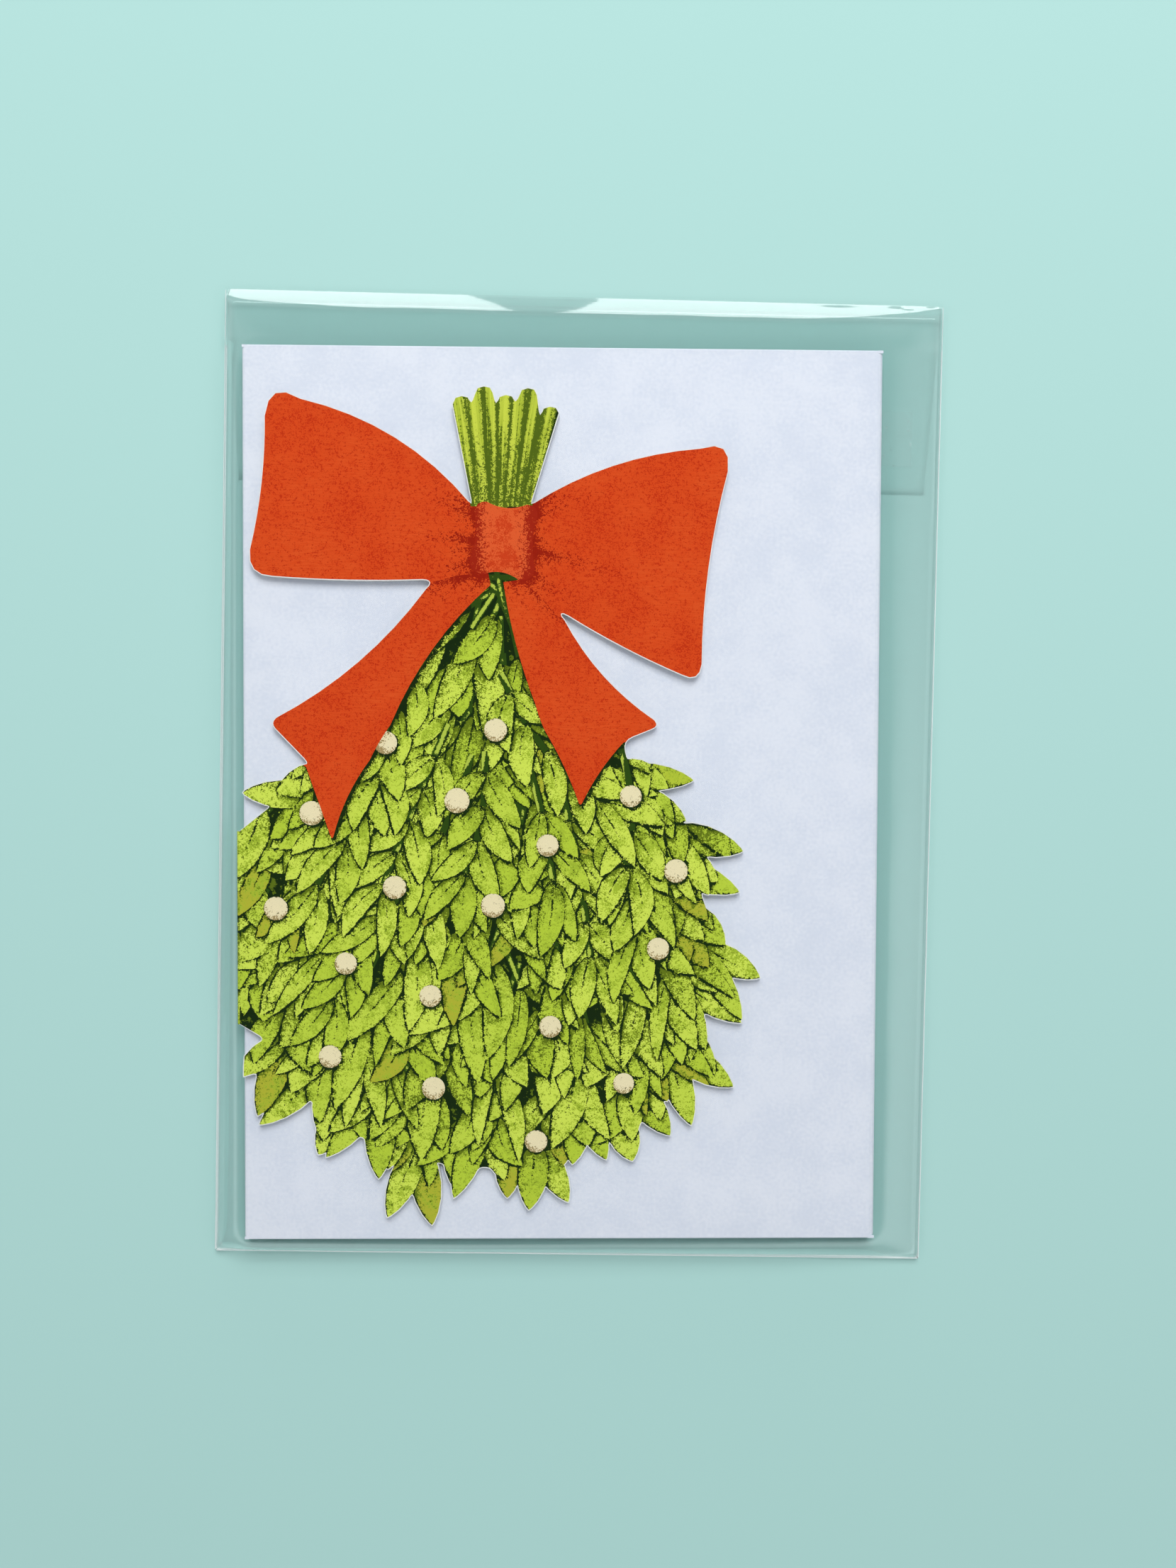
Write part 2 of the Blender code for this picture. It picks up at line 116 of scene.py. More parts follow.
class Graph:
    """Adds nodes to a material's, a group's or a geometry tree and wires them up."""

    def __init__(self, tree: bpy.types.NodeTree) -> None:
        """Work on one tree."""
        self.tree = tree

    def add(self, kind: str, inputs: Inputs | None = None, **settings: object) -> bpy.types.Node:
        """Add one node.

        Args:
            kind: the node's type.
            inputs: a constant or another node's output, by the input's name or index.
            settings: properties of the node itself, set before its inputs.

        Returns:
            The new node.
        """
        node = self.tree.nodes.new(kind)
        for name, setting in settings.items():
            setattr(node, name, setting)
        self.feed(node, inputs or {})
        return node

    def feed(self, node: bpy.types.Node, inputs: Inputs) -> None:
        """Link outputs to a node's inputs, or set the inputs to constants."""
        for key, value in inputs.items():
            if isinstance(value, Term):
                self.tree.links.new(value.socket, node.inputs[key])
            else:
                node.inputs[key].default_value = value

    def out(self, kind: str, inputs: Inputs | None = None, output: str | int = 0,
            **settings: object) -> Term:
        """Add one node and take one of its outputs."""
        return Term(self, self.add(kind, inputs, **settings).outputs[output])

    def math(self, operation: str, *values: Value) -> Term:
        """The result of one Math node."""
        return self.out("ShaderNodeMath", dict(enumerate(values)), operation=operation)

    def vector(self, operation: str, first: Value, second: Value = (0.0, 0.0, 0.0), scale: Value = 1.0,
               output: str = "Vector") -> Term:
        """A result of one Vector Math node."""
        scale_input = 3
        inputs = {0: first, 1: second, scale_input: scale}
        return self.out("ShaderNodeVectorMath", inputs, output, operation=operation)

    def between(self, value: Value, low: Value, high: Value, top: Value = 1.0) -> Term:
        """Rises smoothly from 0 at low to top at high; low may be the larger one."""
        ends = {"Value": value, "From Min": low, "From Max": high, "To Max": top}
        return self.out("ShaderNodeMapRange", ends, interpolation_type="SMOOTHSTEP")

    def mix(self, factor: Value, first: Value, second: Value) -> Term:
        """A colour between first, at factor 0, and second, at factor 1."""
        return self.out("ShaderNodeMix", {"Factor": factor, 6: first, 7: second}, 2, data_type="RGBA")

    def parts(self, vector: Value) -> list[Term]:
        """The X, Y and Z of a vector."""
        return [Term(self, part) for part in self.add("ShaderNodeSeparateXYZ", {0: vector}).outputs]

    def join(self, x: Value, y: Value, z: Value = 0.0) -> Term:
        """A vector from its X, Y and Z."""
        return self.out("ShaderNodeCombineXYZ", {0: x, 1: y, 2: z})

    def noise(self, vector: Value, scale: Value, detail: float = 2.0, roughness: float = 0.6) -> Term:
        """A smooth random value from 0 to 1 at each place."""
        inputs = {"Vector": vector, "Scale": scale, "Detail": detail, "Roughness": roughness}
        return self.out("ShaderNodeTexNoise", inputs)

    def place(self) -> Term:
        """The place on the piece, in millimetres."""
        return self.vector("SCALE", self.out("ShaderNodeTexCoord", output="Object"), scale=1 / MM)

    def attribute(self, name: str) -> Term:
        """A number stored on the piece's mesh under a name."""
        return self.out("ShaderNodeAttribute", output="Fac", attribute_name=name)

    def bump(self, height: Term, strength: float, distance: float) -> Term:
        """A normal tilted by a height."""
        return self.out("ShaderNodeBump", {"Strength": strength, "Distance": distance, "Height": height})

    def dressed(self, geometry: Term, finish: Term) -> None:
        """End a geometry tree: make its instances real and give them their finish."""
        whole = self.out("GeometryNodeRealizeInstances", {0: geometry})
        finished = self.out("GeometryNodeSetMaterial", {"Geometry": whole, "Material": finish})
        self.add("NodeGroupOutput", {0: finished})


def new_group(tree_type: str, name: str, inputs: dict[str, str],
              output: tuple[str, str]) -> tuple[Graph, dict[str, Term]]:
    """Start a node group.

    Args:
        tree_type: whether it is a shader or a geometry tree.
        name: the group's name.
        inputs: the type of each input, by name.
        output: the output's name and type.

    Returns:
        The group's nodes, and its inputs by name.
    """
    tree = bpy.data.node_groups.new(name, tree_type)
    for title, kind in inputs.items():
        tree.interface.new_socket(name=title, in_out="INPUT", socket_type="NodeSocket" + kind)
    tree.interface.new_socket(name=output[0], in_out="OUTPUT", socket_type="NodeSocket" + output[1])
    graph = Graph(tree)
    given = graph.add("NodeGroupInput").outputs
    return graph, {title: Term(graph, given[title]) for title in inputs}


@dataclass(frozen=True)
class SharedEffect:
    """A shader node group that several finishes use, built when the first one asks for it.

    Attributes:
        name: the group's name.
        inputs: names of the numbers that it takes.
        output: its result's name.
        wire: draws its nodes from its inputs and returns its result.
    """

    name: str
    inputs: tuple[str, ...]
    output: str
    wire: Callable[..., Term]

    def use(self, graph: Graph, **values: Value) -> Term:
        """Place the group in a material with its own values, and return its result."""
        tree = bpy.data.node_groups.get(self.name)
        if tree is None:
            kinds = dict.fromkeys(self.inputs, "Float")
            inner, given = new_group("ShaderNodeTree", self.name, kinds, (self.output, "Float"))
            inner.add("NodeGroupOutput", {0: self.wire(inner, *given.values())})
            tree = inner.tree
        return graph.out("ShaderNodeGroup", values, node_tree=tree)


def wire_tooth(graph: Graph, grain: Term) -> Term:
    """Paper tooth under a coloured pencil: fine specks among coarser ones."""
    place = graph.place()
    fine = graph.noise(place, grain, 1.0, 0.5)
    coarse = graph.noise(place, grain * 0.36, 1.0, 0.5)
    return graph.between(fine, 0.33, 0.67, 0.62) + graph.between(coarse, 0.33, 0.67, 0.38)


def wire_coverage(graph: Graph, tone: Term, tooth: Term) -> Term:
    """How far a pencil tone covers the paper: heavy tones close up, light ones stay in specks."""
    return graph.between(tone * 1.35 - tooth * 0.9, -0.12, 0.26)


def wire_strokes(graph: Graph, pitch: Term) -> Term:
    """Fine level pencil strokes, side by side."""
    x, y, _ = graph.parts(graph.place())
    return graph.between(graph.noise(graph.join(x * 0.5, y * pitch), 1.0), 0.32, 0.68)


def wire_fibre(graph: Graph, nap: Term) -> Term:
    """Cloudy fibre of uncoated paper, with a fine nap on top."""
    place = graph.place()
    return graph.noise(place, 0.16, 3.0) * 0.5 + graph.noise(place, nap, 3.0, 0.5) * 0.5


PENCIL_TOOTH = SharedEffect("pencil_tooth", ("Grain",), "Tooth", wire_tooth)
PENCIL_COVERAGE = SharedEffect("pencil_coverage", ("Tone", "Tooth"), "Coverage", wire_coverage)
PENCIL_STROKES = SharedEffect("pencil_strokes", ("Pitch",), "Strokes", wire_strokes)
PAPER_FIBRE = SharedEffect("paper_fibre", ("Nap",), "Fibre", wire_fibre)


# ------------------------------------------------------------------------ finishes


@dataclass(frozen=True)
class Finish:
    """A surface finish, made a material by build."""

    name: str

    def build(self) -> bpy.types.Material:
        """Make the material."""
        material = bpy.data.materials.new(self.name)
        material.use_nodes = True
        self.dress(Graph(material.node_tree), material.node_tree.nodes["Principled BSDF"])
        return material

    def dress(self, graph: Graph, shader: bpy.types.Node) -> None:
        """Set the shader's inputs and draw the nodes that feed them."""
        raise NotImplementedError


@dataclass(frozen=True)
class PrintFinish(Finish):
    """Ink on card: what every printed finish shares."""

    tooth_grain: float = 5.6
    roughness: float = 0.55
    sheen: float = 0.12

    def dress(self, graph: Graph, shader: bpy.types.Node) -> None:
        """Draw the picture's colour and give the ink its dull gloss."""
        tooth = PENCIL_TOOTH.use(graph, Grain=self.tooth_grain)
        graph.feed(shader, {
            "Base Color": self.picture(graph, tooth), "Roughness": self.roughness,
            "Specular IOR Level": self.sheen, "Normal": graph.bump(tooth, 0.05, 0.02 * MM)})

    def picture(self, graph: Graph, tooth: Term) -> Term:
        """The printed colour, given the paper tooth from 0 to 1."""
        raise NotImplementedError

    def motif_place(self, graph: Graph) -> tuple[Term, Term]:
        """How far along and across its motif a place lies, from the motif's own UV map."""
        along, across, _ = graph.parts(graph.out("ShaderNodeUVMap", uv_map=MOTIF_MAP))
        return along, across

    def pencil(self, graph: Graph, tone: Value, tooth: Term, under: Value, over: Value) -> Term:
        """Lay one pencil colour over another with a tone from 0 to 1."""
        return graph.mix(PENCIL_COVERAGE.use(graph, Tone=tone, Tooth=tooth), under, over)

    def distance(self, graph: Graph, along: Term, across: Term, centre: tuple[float, float]) -> Term:
        """How far a place lies from a centre, in the motif's own measure."""
        return graph.vector("LENGTH", graph.join(along - centre[0], across - centre[1]), output="Value")


@dataclass(frozen=True)
class LeafInk(PrintFinish):
    """Leaves: a clear body colour, stippled shade at the root and on one side, dark edges."""

    fresh: Colour = shade(216, 232, 92)
    ripe: Colour = shade(190, 212, 64)
    ochre: Colour = shade(182, 172, 54)
    rubbed: Colour = shade(170, 192, 56)
    shadow: Colour = shade(104, 122, 26)
    line: Colour = shade(24, 44, 12)

    def picture(self, graph: Graph, tooth: Term) -> Term:
        """Shade a leaf from its root to its tip and from its midrib to its edges."""
        along, across = self.motif_place(graph)
        tint, bend, depth, cast = (graph.attribute(name) for name in MOTIF_NUMBERS)
        between = graph.between
        share = graph.math("MINIMUM", graph.math("MAXIMUM", along, 0.002), 0.998)
        root_part = (share / LEAF_FULLEST) ** LEAF_ROOT_TAPER
        tip_part = ((1.0 - share) / (1 - LEAF_FULLEST)) ** LEAF_TIP_TAPER
        half = root_part * tip_part * 0.5
        side = across - bend * (along * 4.0 * (1.0 - along))
        rim = side / half
        margin = half - abs(side)

        wander = graph.noise(graph.place(), 0.5)
        body = graph.mix(between(tint, 0.1, 0.85), self.fresh, self.ripe)
        body = graph.mix(between(tint, 0.9, 0.96, 0.7), body, self.ochre)
        rub = between(wander, 0.4, 0.7, 0.4) + between(along, 0.75, 0.1, 0.3) + 0.16
        body = self.pencil(graph, rub, tooth, body, self.rubbed)
        tone = (between(along, 0.5, 0.0, 0.35) + between(rim, 0.0, 1.0, 0.26) + cast * 0.5
                + between(wander, 0.5, 0.75, 0.24) + depth * 0.22 + between(abs(rim), 0.5, 1.0, 0.1))
        colour = self.pencil(graph, tone, tooth, body, self.shadow)

        edges = graph.math("MAXIMUM", between(margin, 0.13, 0.02) * between(rim, -0.2, 0.3),
                           between(margin, 0.055, 0.01, 0.75))
        midrib = between(abs(side), 0.06, 0.015) * between(along, 0.8, 0.3, 0.6)
        lines = graph.math("MAXIMUM", midrib, between(along, 0.16, 0.02, 0.6))
        uneven = between(graph.noise(graph.place(), 0.9, 1.0), 0.2, 0.55)
        weight = graph.math("MAXIMUM", edges, lines) * uneven * 0.95 + between(cast, 0.5, 1.15, 0.85)
        return self.pencil(graph, weight, tooth, colour, self.line)


@dataclass(frozen=True)
class TwigInk(PrintFinish):
    """Twigs between the leaves: light along the middle, dark at both sides."""

    light: Colour = shade(186, 204, 78)
    dark: Colour = shade(48, 76, 18)

    def picture(self, graph: Graph, tooth: Term) -> Term:
        """Shade a twig across its width, and darker where something hangs over it."""
        _, across = self.motif_place(graph)
        tone = graph.between(abs(across), 0.14, 0.5, 0.9) + graph.attribute(CAST)
        return self.pencil(graph, tone, tooth, self.light, self.dark)


@dataclass(frozen=True)
class BerryInk(PrintFinish):
    """Berries: cream, rubbed grey-brown around the edge and low on one side."""

    tooth_grain: float = 5.2
    cream: Colour = shade(243, 230, 190)
    rubbed: Colour = shade(170, 148, 100)
    line: Colour = shade(96, 90, 42)

    def picture(self, graph: Graph, tooth: Term) -> Term:
        """Shade a berry by its distance from a point up to the left of its middle."""
        spot = self.motif_place(graph)
        from_light = self.distance(graph, *spot, (-0.3, -0.25))
        tone = graph.between(from_light, 0.55, 1.4, 0.5) + graph.attribute(CAST) * 0.3
        colour = self.pencil(graph, tone, tooth, self.cream, self.rubbed)
        outline = graph.between(self.distance(graph, *spot, (0.0, 0.0)), 0.84, 1.05, 0.34)
        crown = graph.between(self.distance(graph, *spot, (0.45, 0.05)), 0.24, 0.06, 0.25)
        return self.pencil(graph, outline + crown, tooth, colour, self.line)


@dataclass(frozen=True)
class StemInk(PrintFinish):
    """Cut stems: long light and dark strokes that darken towards the knot."""

    light: Colour = shade(208, 218, 78)
    mid: Colour = shade(166, 182, 52)
    dark: Colour = shade(86, 106, 24)
    cut: Colour = shade(206, 212, 92)

    def picture(self, graph: Graph, tooth: Term) -> Term:
        """Shade a stem by strokes along it."""
        along, across = self.motif_place(graph)
        tint = graph.attribute(TINT)
        strokes = graph.noise(graph.join(along * 0.6, across * 1.6 + tint * 40.0, tint), 2.0)
        body = graph.mix(graph.between(strokes, 0.36, 0.64), self.light, self.mid)
        tone = (graph.between(abs(across), 0.24, 0.54, 0.62) + graph.between(strokes, 0.46, 0.7, 0.55)
                + graph.between(along, 0.75, 0.0, 0.42))
        drawn = self.pencil(graph, tone, tooth, body, self.dark)
        return graph.mix(graph.between(along, 1.0, 0.86), self.cut, drawn)


@dataclass(frozen=True)
class RibbonInk(PrintFinish):
    """Ribbon: a flat warm red that gathers into dark pleats towards the knot."""

    face: Colour = shade(220, 76, 27)
    glow: Colour = shade(228, 92, 38)
    rubbed: Colour = shade(202, 56, 18)
    deep: Colour = shade(158, 32, 10)
    gather: float = 0.42

    def picture(self, graph: Graph, tooth: Term) -> Term:
        """Shade a ribbon by level strokes and by pleats that fan out from the knot."""
        along, across = self.motif_place(graph)
        between = graph.between
        lanes = graph.join(across / (along + 0.12), along * 0.25, graph.attribute(TINT) * 9.0)
        pleats = graph.noise(lanes, 2.6, 1.0)
        cloud = graph.noise(graph.place(), 0.11)
        strokes = PENCIL_STROKES.use(graph, Pitch=4.2)
        body = graph.mix(strokes * between(cloud, 0.35, 0.7, 0.7), self.face, self.glow)
        wear = between(cloud, 0.65, 0.3, 0.2) + strokes * -0.12 + 0.24
        body = self.pencil(graph, wear, tooth, body, self.rubbed)
        gathered = between(along, self.gather, 0.02) * between(pleats, 0.36, 0.66) * 0.46
        crease = between(along, 0.7, 0.1, 0.24) * between(pleats, 0.56, 0.72)
        tone = gathered + crease + between(along, 0.26, 0.0, 0.36) + graph.attribute(CAST) * 0.34
        return self.pencil(graph, tone, tooth, body, self.deep)


@dataclass(frozen=True)
class KnotInk(PrintFinish):
    """The bow's knot: lit down its middle and rubbed dark at both sides."""

    face: Colour = shade(228, 96, 48)
    rubbed: Colour = shade(210, 68, 28)
    deep: Colour = shade(166, 38, 16)

    def picture(self, graph: Graph, tooth: Term) -> Term:
        """Shade the knot across its width and under its lower edge."""
        along, across = self.motif_place(graph)
        cloud = graph.between(graph.noise(graph.place(), 0.3), 0.35, 0.7, 0.6)
        body = self.pencil(graph, cloud, tooth, self.face, self.rubbed)
        tone = graph.between(abs(along), 0.2, 1.0, 0.8) + graph.between(across, 0.55, 1.0, 0.3)
        return self.pencil(graph, tone, tooth, body, self.deep)


@dataclass(frozen=True)
class GapInk(PrintFinish):
    """The dark between the leaves."""

    olive: Colour = shade(96, 116, 26)
    deep: Colour = shade(22, 42, 12)

    def picture(self, graph: Graph, tooth: Term) -> Term:
        """Stipple deep green over olive."""
        cloud = graph.between(graph.noise(graph.place(), 0.6), 0.3, 0.6, 0.8)
        return self.pencil(graph, cloud + graph.attribute(CAST), tooth, self.olive, self.deep)


@dataclass(frozen=True)
class Paper(Finish):
    """Uncoated paper, cloudy, with a soft nap that catches low light."""

    white: Colour
    shaded: Colour
    nap: float
    cloud: float
    roughness: float
    sheen: float
    nap_strength: float
    nap_height: float

    def dress(self, graph: Graph, shader: bpy.types.Node) -> None:
        """Cloud the sheet and give it its nap."""
        fibre = PAPER_FIBRE.use(graph, Nap=self.nap)
        clouds = graph.between(fibre, 0.5 - self.cloud, 0.5 + self.cloud)
        graph.feed(shader, {
            "Base Color": graph.mix(clouds, self.white, self.shaded), "Roughness": self.roughness,
            "Specular IOR Level": self.sheen,
            "Normal": graph.bump(fibre, self.nap_strength, self.nap_height)})


def board(name: str) -> Paper:
    """Unprinted card: the cut edges and everything inside the fold."""
    return Paper(name, shade(243, 243, 240), shade(226, 226, 222), nap=3.0, cloud=0.15, roughness=0.7,
                 sheen=0.5, nap_strength=0.08, nap_height=0.03 * MM)


@dataclass(frozen=True)
class DriedGum(Finish):
    """Remoistenable gum, brushed on in streaks and dried to a dull gloss."""

    pale: Colour = shade(228, 224, 208)
    yellowed: Colour = shade(214, 206, 178)

    def dress(self, graph: Graph, shader: bpy.types.Node) -> None:
        """Streak the gum along the strip."""
        x, y, _ = graph.parts(graph.place())
        streaks = graph.noise(graph.join(x * 2.0, y * 0.15), 1.0, 3.0)
        graph.feed(shader, {
            "Base Color": graph.mix(graph.between(streaks, 0.35, 0.65), self.pale, self.yellowed),
            "Roughness": streaks * 0.3 + 0.2})


@dataclass(frozen=True)
class ClearFilm(Finish):
    """Clear glossy film: see-through, with a mirror-like sheen that grows at low angles.

    Attributes:
        clarity: colour of what shows through one face of the film.
        gloss: roughness of the sheen.
        index: the film's refractive index.
        haze: share of it that is a white diffuse coat, a painted highlight for the thin bright line along a
            weld.
    """

    clarity: Colour = (0.985, 0.992, 0.992, 1.0)
    gloss: float = 0.04
    index: float = 1.5
    haze: float = 0.0

    def dress(self, graph: Graph, shader: bpy.types.Node) -> None:
        """Mix a sheen into clear, by the angle that the film is seen at."""
        graph.tree.nodes.remove(shader)
        behind = graph.out("ShaderNodeNewGeometry", output="Backfacing")
        ends = {"Value": behind, "To Min": self.index, "To Max": 1 / self.index}
        fresnel = graph.out("ShaderNodeFresnel", {"IOR": graph.out("ShaderNodeMapRange", ends)})
        clear = graph.out("ShaderNodeBsdfTransparent", {"Color": self.clarity})
        sheen = graph.out("ShaderNodeBsdfGlossy", {"Color": (1.0, 1.0, 1.0, 1.0), "Roughness": self.gloss})
        blend = graph.out("ShaderNodeMixShader", {0: fresnel, 1: clear, 2: sheen})
        # A white diffuse coat mixed into the film: a painted highlight that brightens the welds into thin
        # bright lines.
        if self.haze:
            white = graph.out("ShaderNodeBsdfDiffuse", {"Color": (0.9, 0.95, 0.95, 1.0)})
            blend = graph.out("ShaderNodeMixShader", {0: self.haze, 1: blend, 2: white})
        graph.feed(graph.tree.nodes["Material Output"], {"Surface": blend})


@dataclass(frozen=True)
class ClearAdhesive(Finish):
    """A thin coat of clear adhesive, slightly cloudy, with small trapped bubbles."""

    tack: Colour = shade(236, 240, 240)

    def dress(self, graph: Graph, shader: bpy.types.Node) -> None:
        """Make the coat mostly clear, and cloudier around its bubbles."""
        cells = graph.out("ShaderNodeTexVoronoi", {"Vector": graph.place(), "Scale": 0.7}, "Distance")
        cloud = graph.between(cells, 0.2, 0.08, 0.08) + 0.02
        graph.feed(shader, {"Base Color": self.tack, "Roughness": 0.25, "Alpha": cloud})


@dataclass(frozen=True)
class StudioFloor(Finish):
    """A plain pale floor."""

    colour: Colour = shade(169, 209, 204)

    def dress(self, graph: Graph, shader: bpy.types.Node) -> None:
        """Set one dull colour."""
        graph.feed(shader, {"Base Color": self.colour, "Roughness": 0.9, "Specular IOR Level": 0.2})


# ------------------------------------------------------------------------ pieces and layout


def add_object(name: str, data: bpy.types.ID) -> bpy.types.Object:
    """Put a mesh, a lamp or a camera into the scene."""
    obj = bpy.data.objects.new(name, data)
    bpy.context.scene.collection.objects.link(obj)
    return obj


def mesh_object(name: str, bm: bmesh.types.BMesh, *finishes: bpy.types.Material) -> bpy.types.Object:
    """Put a modelled shape into the scene with its finishes."""
    mesh = bpy.data.meshes.new(name)
    bm.to_mesh(mesh)
    bm.free()
    for finish in finishes:
        mesh.materials.append(finish)
    return add_object(name, mesh)


def thicken(obj: bpy.types.Object, thickness: float, offset: float = 0.0) -> bpy.types.Modifier:
    """Give a surface a thickness, on both sides of it or, with an offset of -1, behind it."""
    solidify = obj.modifiers.new("thickness", "SOLIDIFY")
    solidify.thickness = thickness
    solidify.offset = offset
    return solidify


def plain_mesh(obj: bpy.types.Object, name: str) -> bpy.types.Object:
    """Replace an object by one with the same final shape and no modifiers, at the origin."""
    graph = bpy.context.evaluated_depsgraph_get()
    mesh = bpy.data.meshes.new_from_object(obj.evaluated_get(graph), preserve_all_data_layers=True,
                                           depsgraph=graph)
    bpy.data.objects.remove(obj, do_unlink=True)
    mesh.name = name
    return add_object(name, mesh)


def grow(name: str, tree: bpy.types.NodeTree, values: dict[str, object],
         thickness: float = 0.0) -> bpy.types.Object:
    """Make a piece from a geometry tree.

    Args:
        name: the piece's name.
        tree: the geometry nodes.
        values: every input of the tree, by name.
        thickness: how thick to make the tree's surface, or 0 for a solid.

    Returns:
        The piece, as a plain mesh.
    """
    carrier = add_object("carrier", bpy.data.meshes.new("carrier"))
    modifier = carrier.modifiers.new("nodes", "NODES")
    modifier.node_group = tree
    for socket in tree.interface.items_tree:
        if socket.in_out == "INPUT":
            modifier[socket.identifier] = values[socket.name]
    if thickness:
        thicken(carrier, thickness)
    return plain_mesh(carrier, name)


def dress_node(name: str, finish: bpy.types.Material) -> None:
    """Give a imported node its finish."""
    materials = frame["nodes"][name].data.materials
    materials.clear()
    materials.append(finish)
    LOG.info("%s: finish %s", name, finish.name)


def hand_over(piece: bpy.types.Object, body: str, slot: str, *replaces: str) -> None:
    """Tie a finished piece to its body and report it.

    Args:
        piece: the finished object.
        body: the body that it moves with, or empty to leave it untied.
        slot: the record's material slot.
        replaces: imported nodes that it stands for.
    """
    if body:
        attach(piece, body)
    if replaces:
        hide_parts(*replaces)
    LOG.info("%s: %d faces, slot %s", piece.name, len(piece.data.polygons), slot)


@dataclass(frozen=True)
class Layout:
    """Where the set's sheets lie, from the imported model.

    Attributes:
        turn: how far the envelope and card are turned in the sleeve.
    """

    turn: float = math.radians(0.83)

    @property
    def centre(self) -> Vector:
        """The envelope's middle, at height zero."""
        low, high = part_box("envelope")
        return Vector(((low.x + high.x) / 2, (low.y + high.y) / 2, 0.0))

    @property
    def envelope_frame(self) -> Matrix:
        """Takes a place in the envelope's frame into the set."""
        return Matrix.Translation(self.centre) @ Matrix.Rotation(self.turn, 4, "Z")

    @property
    def hinge(self) -> Vector:
        """The middle of the sleeve flap's fold."""
        return Vector(frame["joints"][0]["pos_m"])


# ------------------------------------------------------------------------ the print

MOTIF_MAP = "motif"
MOTIF_NUMBERS = TINT, BEND, DEPTH, CAST = "tint", "bend", "depth", "cast"
LEAF_ROOT_TAPER = 0.65
LEAF_TIP_TAPER = 0.8
LEAF_FULLEST = LEAF_ROOT_TAPER / (LEAF_ROOT_TAPER + LEAF_TIP_TAPER)
SHADE_FALLS = Vector((0.22, -0.3))


class Ink(Enum):
    """What lies on a stretch of the card; the value is its material slot."""

    BARE = 0
    GAP = 1
    LEAF = 2
    TWIG = 3
    BERRY = 4
    STEM = 5
    RIBBON = 6
    KNOT = 7
    BOARD = 8


def side_of(direction: Vector) -> Vector:
    """The direction to the right of another."""
    return Vector((direction.y, -direction.x))


def from_angle(angle: float) -> Vector:
    """The unit direction at an angle from +X."""
    return Vector((math.cos(angle), math.sin(angle)))


def turned(direction: Vector, angle: float) -> Vector:
    """A direction turned anticlockwise by an angle."""
    return Vector((direction.x * math.cos(angle) - direction.y * math.sin(angle),
                   direction.x * math.sin(angle) + direction.y * math.cos(angle)))


def inside(place: Vector, outline: Sequence[Vector]) -> bool:
    """Whether a place lies within a closed outline."""
    crossings = 0
    for start, end in zip(outline, [*outline[1:], outline[0]]):
        if (start.y > place.y) != (end.y > place.y):
            crossing = start.x + (place.y - start.y) / (end.y - start.y) * (end.x - start.x)
            crossings += crossing > place.x
    return crossings % 2 == 1


def moved_in(outline: Sequence[Vector], inset: float) -> list[Vector]:
    """A closed anticlockwise outline moved in by an inset, or out where it is negative."""
    moved = []
    for index, spot in enumerate(outline):
        before = (spot - outline[index - 1]).normalized()
        after = (outline[(index + 1) % len(outline)] - spot).normalized()
        normal = -(side_of(before) + side_of(after)).normalized()
        squareness = max(normal.dot(-side_of(after)), 0.5)
        moved.append(spot + normal * inset / squareness)
    return moved


def rounded_corner(corner: Vector, before: Vector, after: Vector, radius: float) -> list[Vector]:
    """Points of an arc that cuts a corner between its two neighbours."""
    start = corner + (before - corner).normalized() * radius
    end = corner + (after - corner).normalized() * radius
    fractions = (0.0, 0.25, 0.5, 0.75, 1.0)
    return [start * (1 - t) ** 2 + corner * 2 * t * (1 - t) + end * t ** 2 for t in fractions]


def bowed_edge(start: Vector, end: Vector, sag: float, steps: int = 8) -> list[Vector]:
    """Points between start and end on a shallow arch that bulges to the left."""
    side = -side_of(end - start).normalized()
    fractions = [step / steps for step in range(1, steps)]
    return [start.lerp(end, t) + side * sag * 4 * t * (1 - t) for t in fractions]


def ribbon_shape(corners: Sequence[Sequence[float]]) -> list[Vector]:
    """A closed anticlockwise outline.

    Args:
        corners: x and y of each corner, then its radius and the bow of the next edge, where it has them.

    Returns:
        The outline's points.
    """
    spots = [Vector(corner[:2]) for corner in corners]
    looks = [(*corner[2:], 0.0, 0.0)[:2] for corner in corners]
    bends = []
    for index, (spot, (radius, _)) in enumerate(zip(spots, looks)):
        after = spots[(index + 1) % len(spots)]
        bends.append(rounded_corner(spot, spots[index - 1], after, radius) if radius else [spot])
    points: list[Vector] = []
    for bend, following, (_, bow) in zip(bends, bends[1:] + bends[:1], looks):
        points += bend
        if bow:
            points += bowed_edge(bend[-1], following[0], bow)
    area = sum(a.x * b.y - b.x * a.y for a, b in zip(points, points[1:] + points[:1]))
    return points if area > 0 else points[::-1]


def smooth_curve(points: Sequence[Sequence[float]], steps: int) -> list[Vector]:
    """Catmull-Rom curve through every point."""
    spots = [Vector(point) for point in points]
    curve = []
    for index in range(len(spots) - 1):
        p0, p1 = spots[max(index - 1, 0)], spots[index]
        p2, p3 = spots[index + 1], spots[min(index + 2, len(spots) - 1)]
        for step in range(steps):
            t = step / steps
            curve.append(0.5 * (2 * p1 + (p2 - p0) * t + (2 * p0 - 5 * p1 + 4 * p2 - p3) * t ** 2
                                + (3 * p1 - p0 - 3 * p2 + p3) * t ** 3))
    return curve + [spots[-1]]


